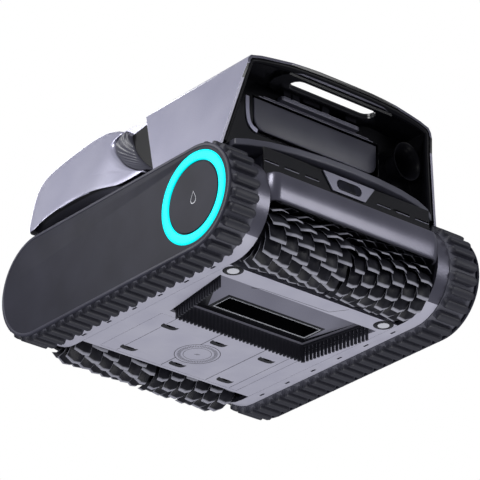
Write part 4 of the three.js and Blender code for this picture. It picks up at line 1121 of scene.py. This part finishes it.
def lid_ridge(x_centre, half_width):
    """z = top of the lid + 1.4 * cos^2 across, fading to nothing over both ends."""
    u, v = np.linspace(-1, 1, 9), np.linspace(0, 1, 30)[:, None]
    fade = np.clip(np.minimum(v, 1 - v) * 7, 0, 1)
    x = x_centre + half_width * u
    y = lid_low[1] + 34 + (lid_high[1] - lid_low[1] - 58) * v
    top = np.interp(y, *LID_TOP)
    rise = 1.4 * np.cos(math.pi * u / 2) ** 2 * np.sin(fade * math.pi / 2) + 0.05
    return slab(xyz(x, y, top + rise), xyz(x, y, top - 0.6))


ridges = joined(lid_ridge(-62, 6), lid_ridge(62, 6))
place("lid_ridges", ridges, silver_paint, "shell_silver", "lid", sharp=60)
print("louvres every", LOUVRE_PITCH, "mm")

# %% [markdown]
# ## Everything else that is moulded or turned
# The other imported parts have the right shape already. Each gets the edge radius its mould would
# have: 0.9 to 2 mm on the big outer shells, under 1 mm on small trim and inner parts.

# %% Soften the imported parts
EDGE_RADIUS_MM = {
    "upper_shell": 0.9, "top_lid": 1.6, "front_chin": 2.0, "front_frame": 1.6, "rear_frame": 1.6,
    "left_track_frame": 0.6, "right_track_frame": 0.6, "bottom_chassis": 0.8, "intake_funnel": 0.8,
    "cavity_liner": 0.8, "vent_strip": 0.3, "sensor_bezel": 0.8, "sensor_lens": 0.8,
    "handle_latch": 0.6, "rear_cover": 0.6, "lid_button": 0.8, "power_button": 0.8,
}
SMALL_PART_RADIUS_MM = 0.4
OWN_FINISH = {"filter_basket": basket_mesh, "vent_strip": gloss_abs, "sensor_bezel": pewter_paint}


def shell_shade_rule(centre, normal):
    """Painted shade: black under the roof and round the slot, and graphite on the front edge to dim
    its highlight; silver elsewhere.
    """
    under = (normal[:, 2] < -0.2) & (centre[:, 2] > 200)
    slot_wall = (np.abs(centre[:, 0]) < 94) & (np.abs(normal[:, 2]) < 0.7) & (centre[:, 2] > 270)
    black = under | (slot_wall & (centre[:, 1] < -160) & (centre[:, 1] > -212))
    edge = (normal[:, 1] < -0.5) & (centre[:, 1] < -180) & (centre[:, 2] > 150)
    return np.where(black, 1, np.where(edge, 2, 0))


def well_shade_rule(centre, normal):
    """Black wherever the battery cover is not its flat underside: painted shade in its wells and
    along its edges.
    """
    return (centre[:, 2] > cover_bottom[2] + 0.3).astype(int)


def underside_light_rule(centre, normal):
    """Painted light and shade: faces looking down get the light grey plastic, lit from below; the
    rest gets the darker graphite paint, shaded.
    """
    return ((normal[:, 2] < -0.8) & (centre[:, 2] < 20)).astype(int)


def funnel_shade_rule(centre, normal):
    """Painted shade on the tray, by which way each face points: pewter slopes at front and left,
    black at rear and right and in the mouth.
    """
    (x, y, z), (tilt_x, tilt_y, tilt_z) = centre.T, normal.T
    inside = (z > MOUTH_Z + 1) & (np.abs(x) < 79) & (np.abs(tilt_z) < 0.2)
    facing_down = (tilt_z < -0.05) & (z < 40)
    rim = (tilt_z < -0.97) & (np.abs(x) < 86) & (z < MOUTH_Z + 2)
    dark = (tilt_y > 0.05) | (tilt_x > 0.3) | rim | (y > -38)
    return np.where(inside | (facing_down & dark), 2, np.where(facing_down, 1, 0))


FINISH_RULES = {
    "intake_funnel": ([chassis_abs, pewter_paint, gloss_abs], funnel_shade_rule),
    # Track frames: the light grey underside and the graphite arcs are painted light and painted
    # shade on one flange.
    "left_track_frame": ([graphite_paint, chassis_abs], underside_light_rule),
    "right_track_frame": ([graphite_paint, chassis_abs], underside_light_rule),
    "upper_shell": ([silver_paint, gloss_abs, graphite_paint], shell_shade_rule),
    "battery_cover": ([chassis_abs, gloss_abs], well_shade_rule),
}

for node in sorted(frame["nodes"]):
    if not frame["nodes"][node].hide_render:
        soften(
            node, EDGE_RADIUS_MM.get(node, SMALL_PART_RADIUS_MM), OWN_FINISH.get(node),
            FINISH_RULES.get(node),
        )

# %% [markdown]
# ## Camera, light and floor
# The robot is looked at from below its front left corner with a long lens, as if it climbed a glass
# wall. The floor is pale and seen only from above, so that the underside stays in view. Big soft
# lights stand below, above and beside it.

# %% Camera, light and floor
CAMERA_AZIMUTH = math.radians(-40.01)
CAMERA_ELEVATION = math.radians(-26.2)
CAMERA_DISTANCE = 4.572
LENS_MM = 255.5
aim = Vector((0.0025, 0.0, 0.145))
back = Vector((
    math.sin(CAMERA_AZIMUTH) * math.cos(CAMERA_ELEVATION),
    -math.cos(CAMERA_AZIMUTH) * math.cos(CAMERA_ELEVATION),
    math.sin(CAMERA_ELEVATION),
))
camera = add_object("camera", bpy.data.cameras.new("camera"))
camera.location = aim + back * CAMERA_DISTANCE
camera.rotation_mode = "QUATERNION"
camera.rotation_quaternion = (-back).to_track_quat("-Z", "Y")
camera.data.lens = LENS_MM
camera.data.sensor_width = 36
camera.data.clip_start, camera.data.clip_end = 0.1, 60
bpy.context.scene.camera = camera
bpy.context.scene.view_settings.view_transform = "Standard"


def soft_light(name, place, size, power, colour="#ffffff"):
    """A square area light of a given size in metres, turned to the middle of the robot."""
    light = bpy.data.lights.new(name, "AREA")
    light.size, light.energy, light.color = size, power, linear(colour)[:3]
    lamp = add_object(name, light)
    lamp.location = place
    lamp.rotation_mode = "QUATERNION"
    lamp.rotation_quaternion = (aim - Vector(place)).to_track_quat("-Z", "Y")
    lamp.visible_camera = False


soft_light("key_light", (-1.7, -0.7, 1.6), 1.0, 30)
soft_light("side_light", (-0.9, 0.55, 0.6), 0.5, 5)
soft_light("belly_light", (0.3, -0.5, -2.2), 1.6, 30)
soft_light("front_light", (1.2, -2.4, 0.5), 1.0, 16)
soft_light("rim_light", (0.6, 2.2, 1.5), 1.2, 22)

world = bpy.data.worlds.new("studio")
bpy.context.scene.world = world
world.use_nodes = True
sky = world.node_tree
sky.nodes.clear()
seen = add_node(sky, "ShaderNodeLightPath").outputs["Is Camera Ray"]
white = add_node(sky, "ShaderNodeBackground", {"Color": (1, 1, 1, 1), "Strength": 1.0})
ambient = add_node(sky, "ShaderNodeBackground", {"Color": linear("#c9cbd6"), "Strength": 0.45})
both = add_node(
    sky, "ShaderNodeMixShader", links={0: seen, 1: ambient.outputs[0], 2: white.outputs[0]}
)
add_node(sky, "ShaderNodeOutputWorld", links={"Surface": both.outputs[0]})


def floor_plane():
    """A pale floor 8 m across at z = 0, clear from beneath and out of the lights' way."""
    corners = np.array([[-4, -4, 0], [4, -4, 0], [4, 4, 0], [-4, 4, 0]]) / MM
    mesh = mesh_from("floor", corners, np.array([[0, 1, 2, 3]]))
    floor = add_object("floor", mesh)
    material, tree = start_material("pale_floor_paint", Roughness=0.6)
    dress(tree, pattern(tree, "Noise", 400, Detail=2.0), "#dedee1", "#e6e6e8")
    paint = tree.nodes["Principled BSDF"].outputs[0]
    below = add_node(tree, "ShaderNodeNewGeometry").outputs["Backfacing"]
    clear = add_node(tree, "ShaderNodeBsdfTransparent").outputs[0]
    choice = add_node(tree, "ShaderNodeMixShader", links={0: below, 1: paint, 2: clear})
    tree.links.new(choice.outputs[0], tree.nodes["Material Output"].inputs["Surface"])
    mesh.materials.append(material)
    floor.visible_shadow = False
    floor.visible_diffuse = False
    floor.visible_glossy = False
    floor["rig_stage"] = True


floor_plane()

# %% Sizes and finish
visual_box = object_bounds()
growth = [round((v - c) / MM, 1) for a, b in zip(cad_box, visual_box) for c, v in zip(a, b)]
print("visual box beyond the packed box, mm:", growth)
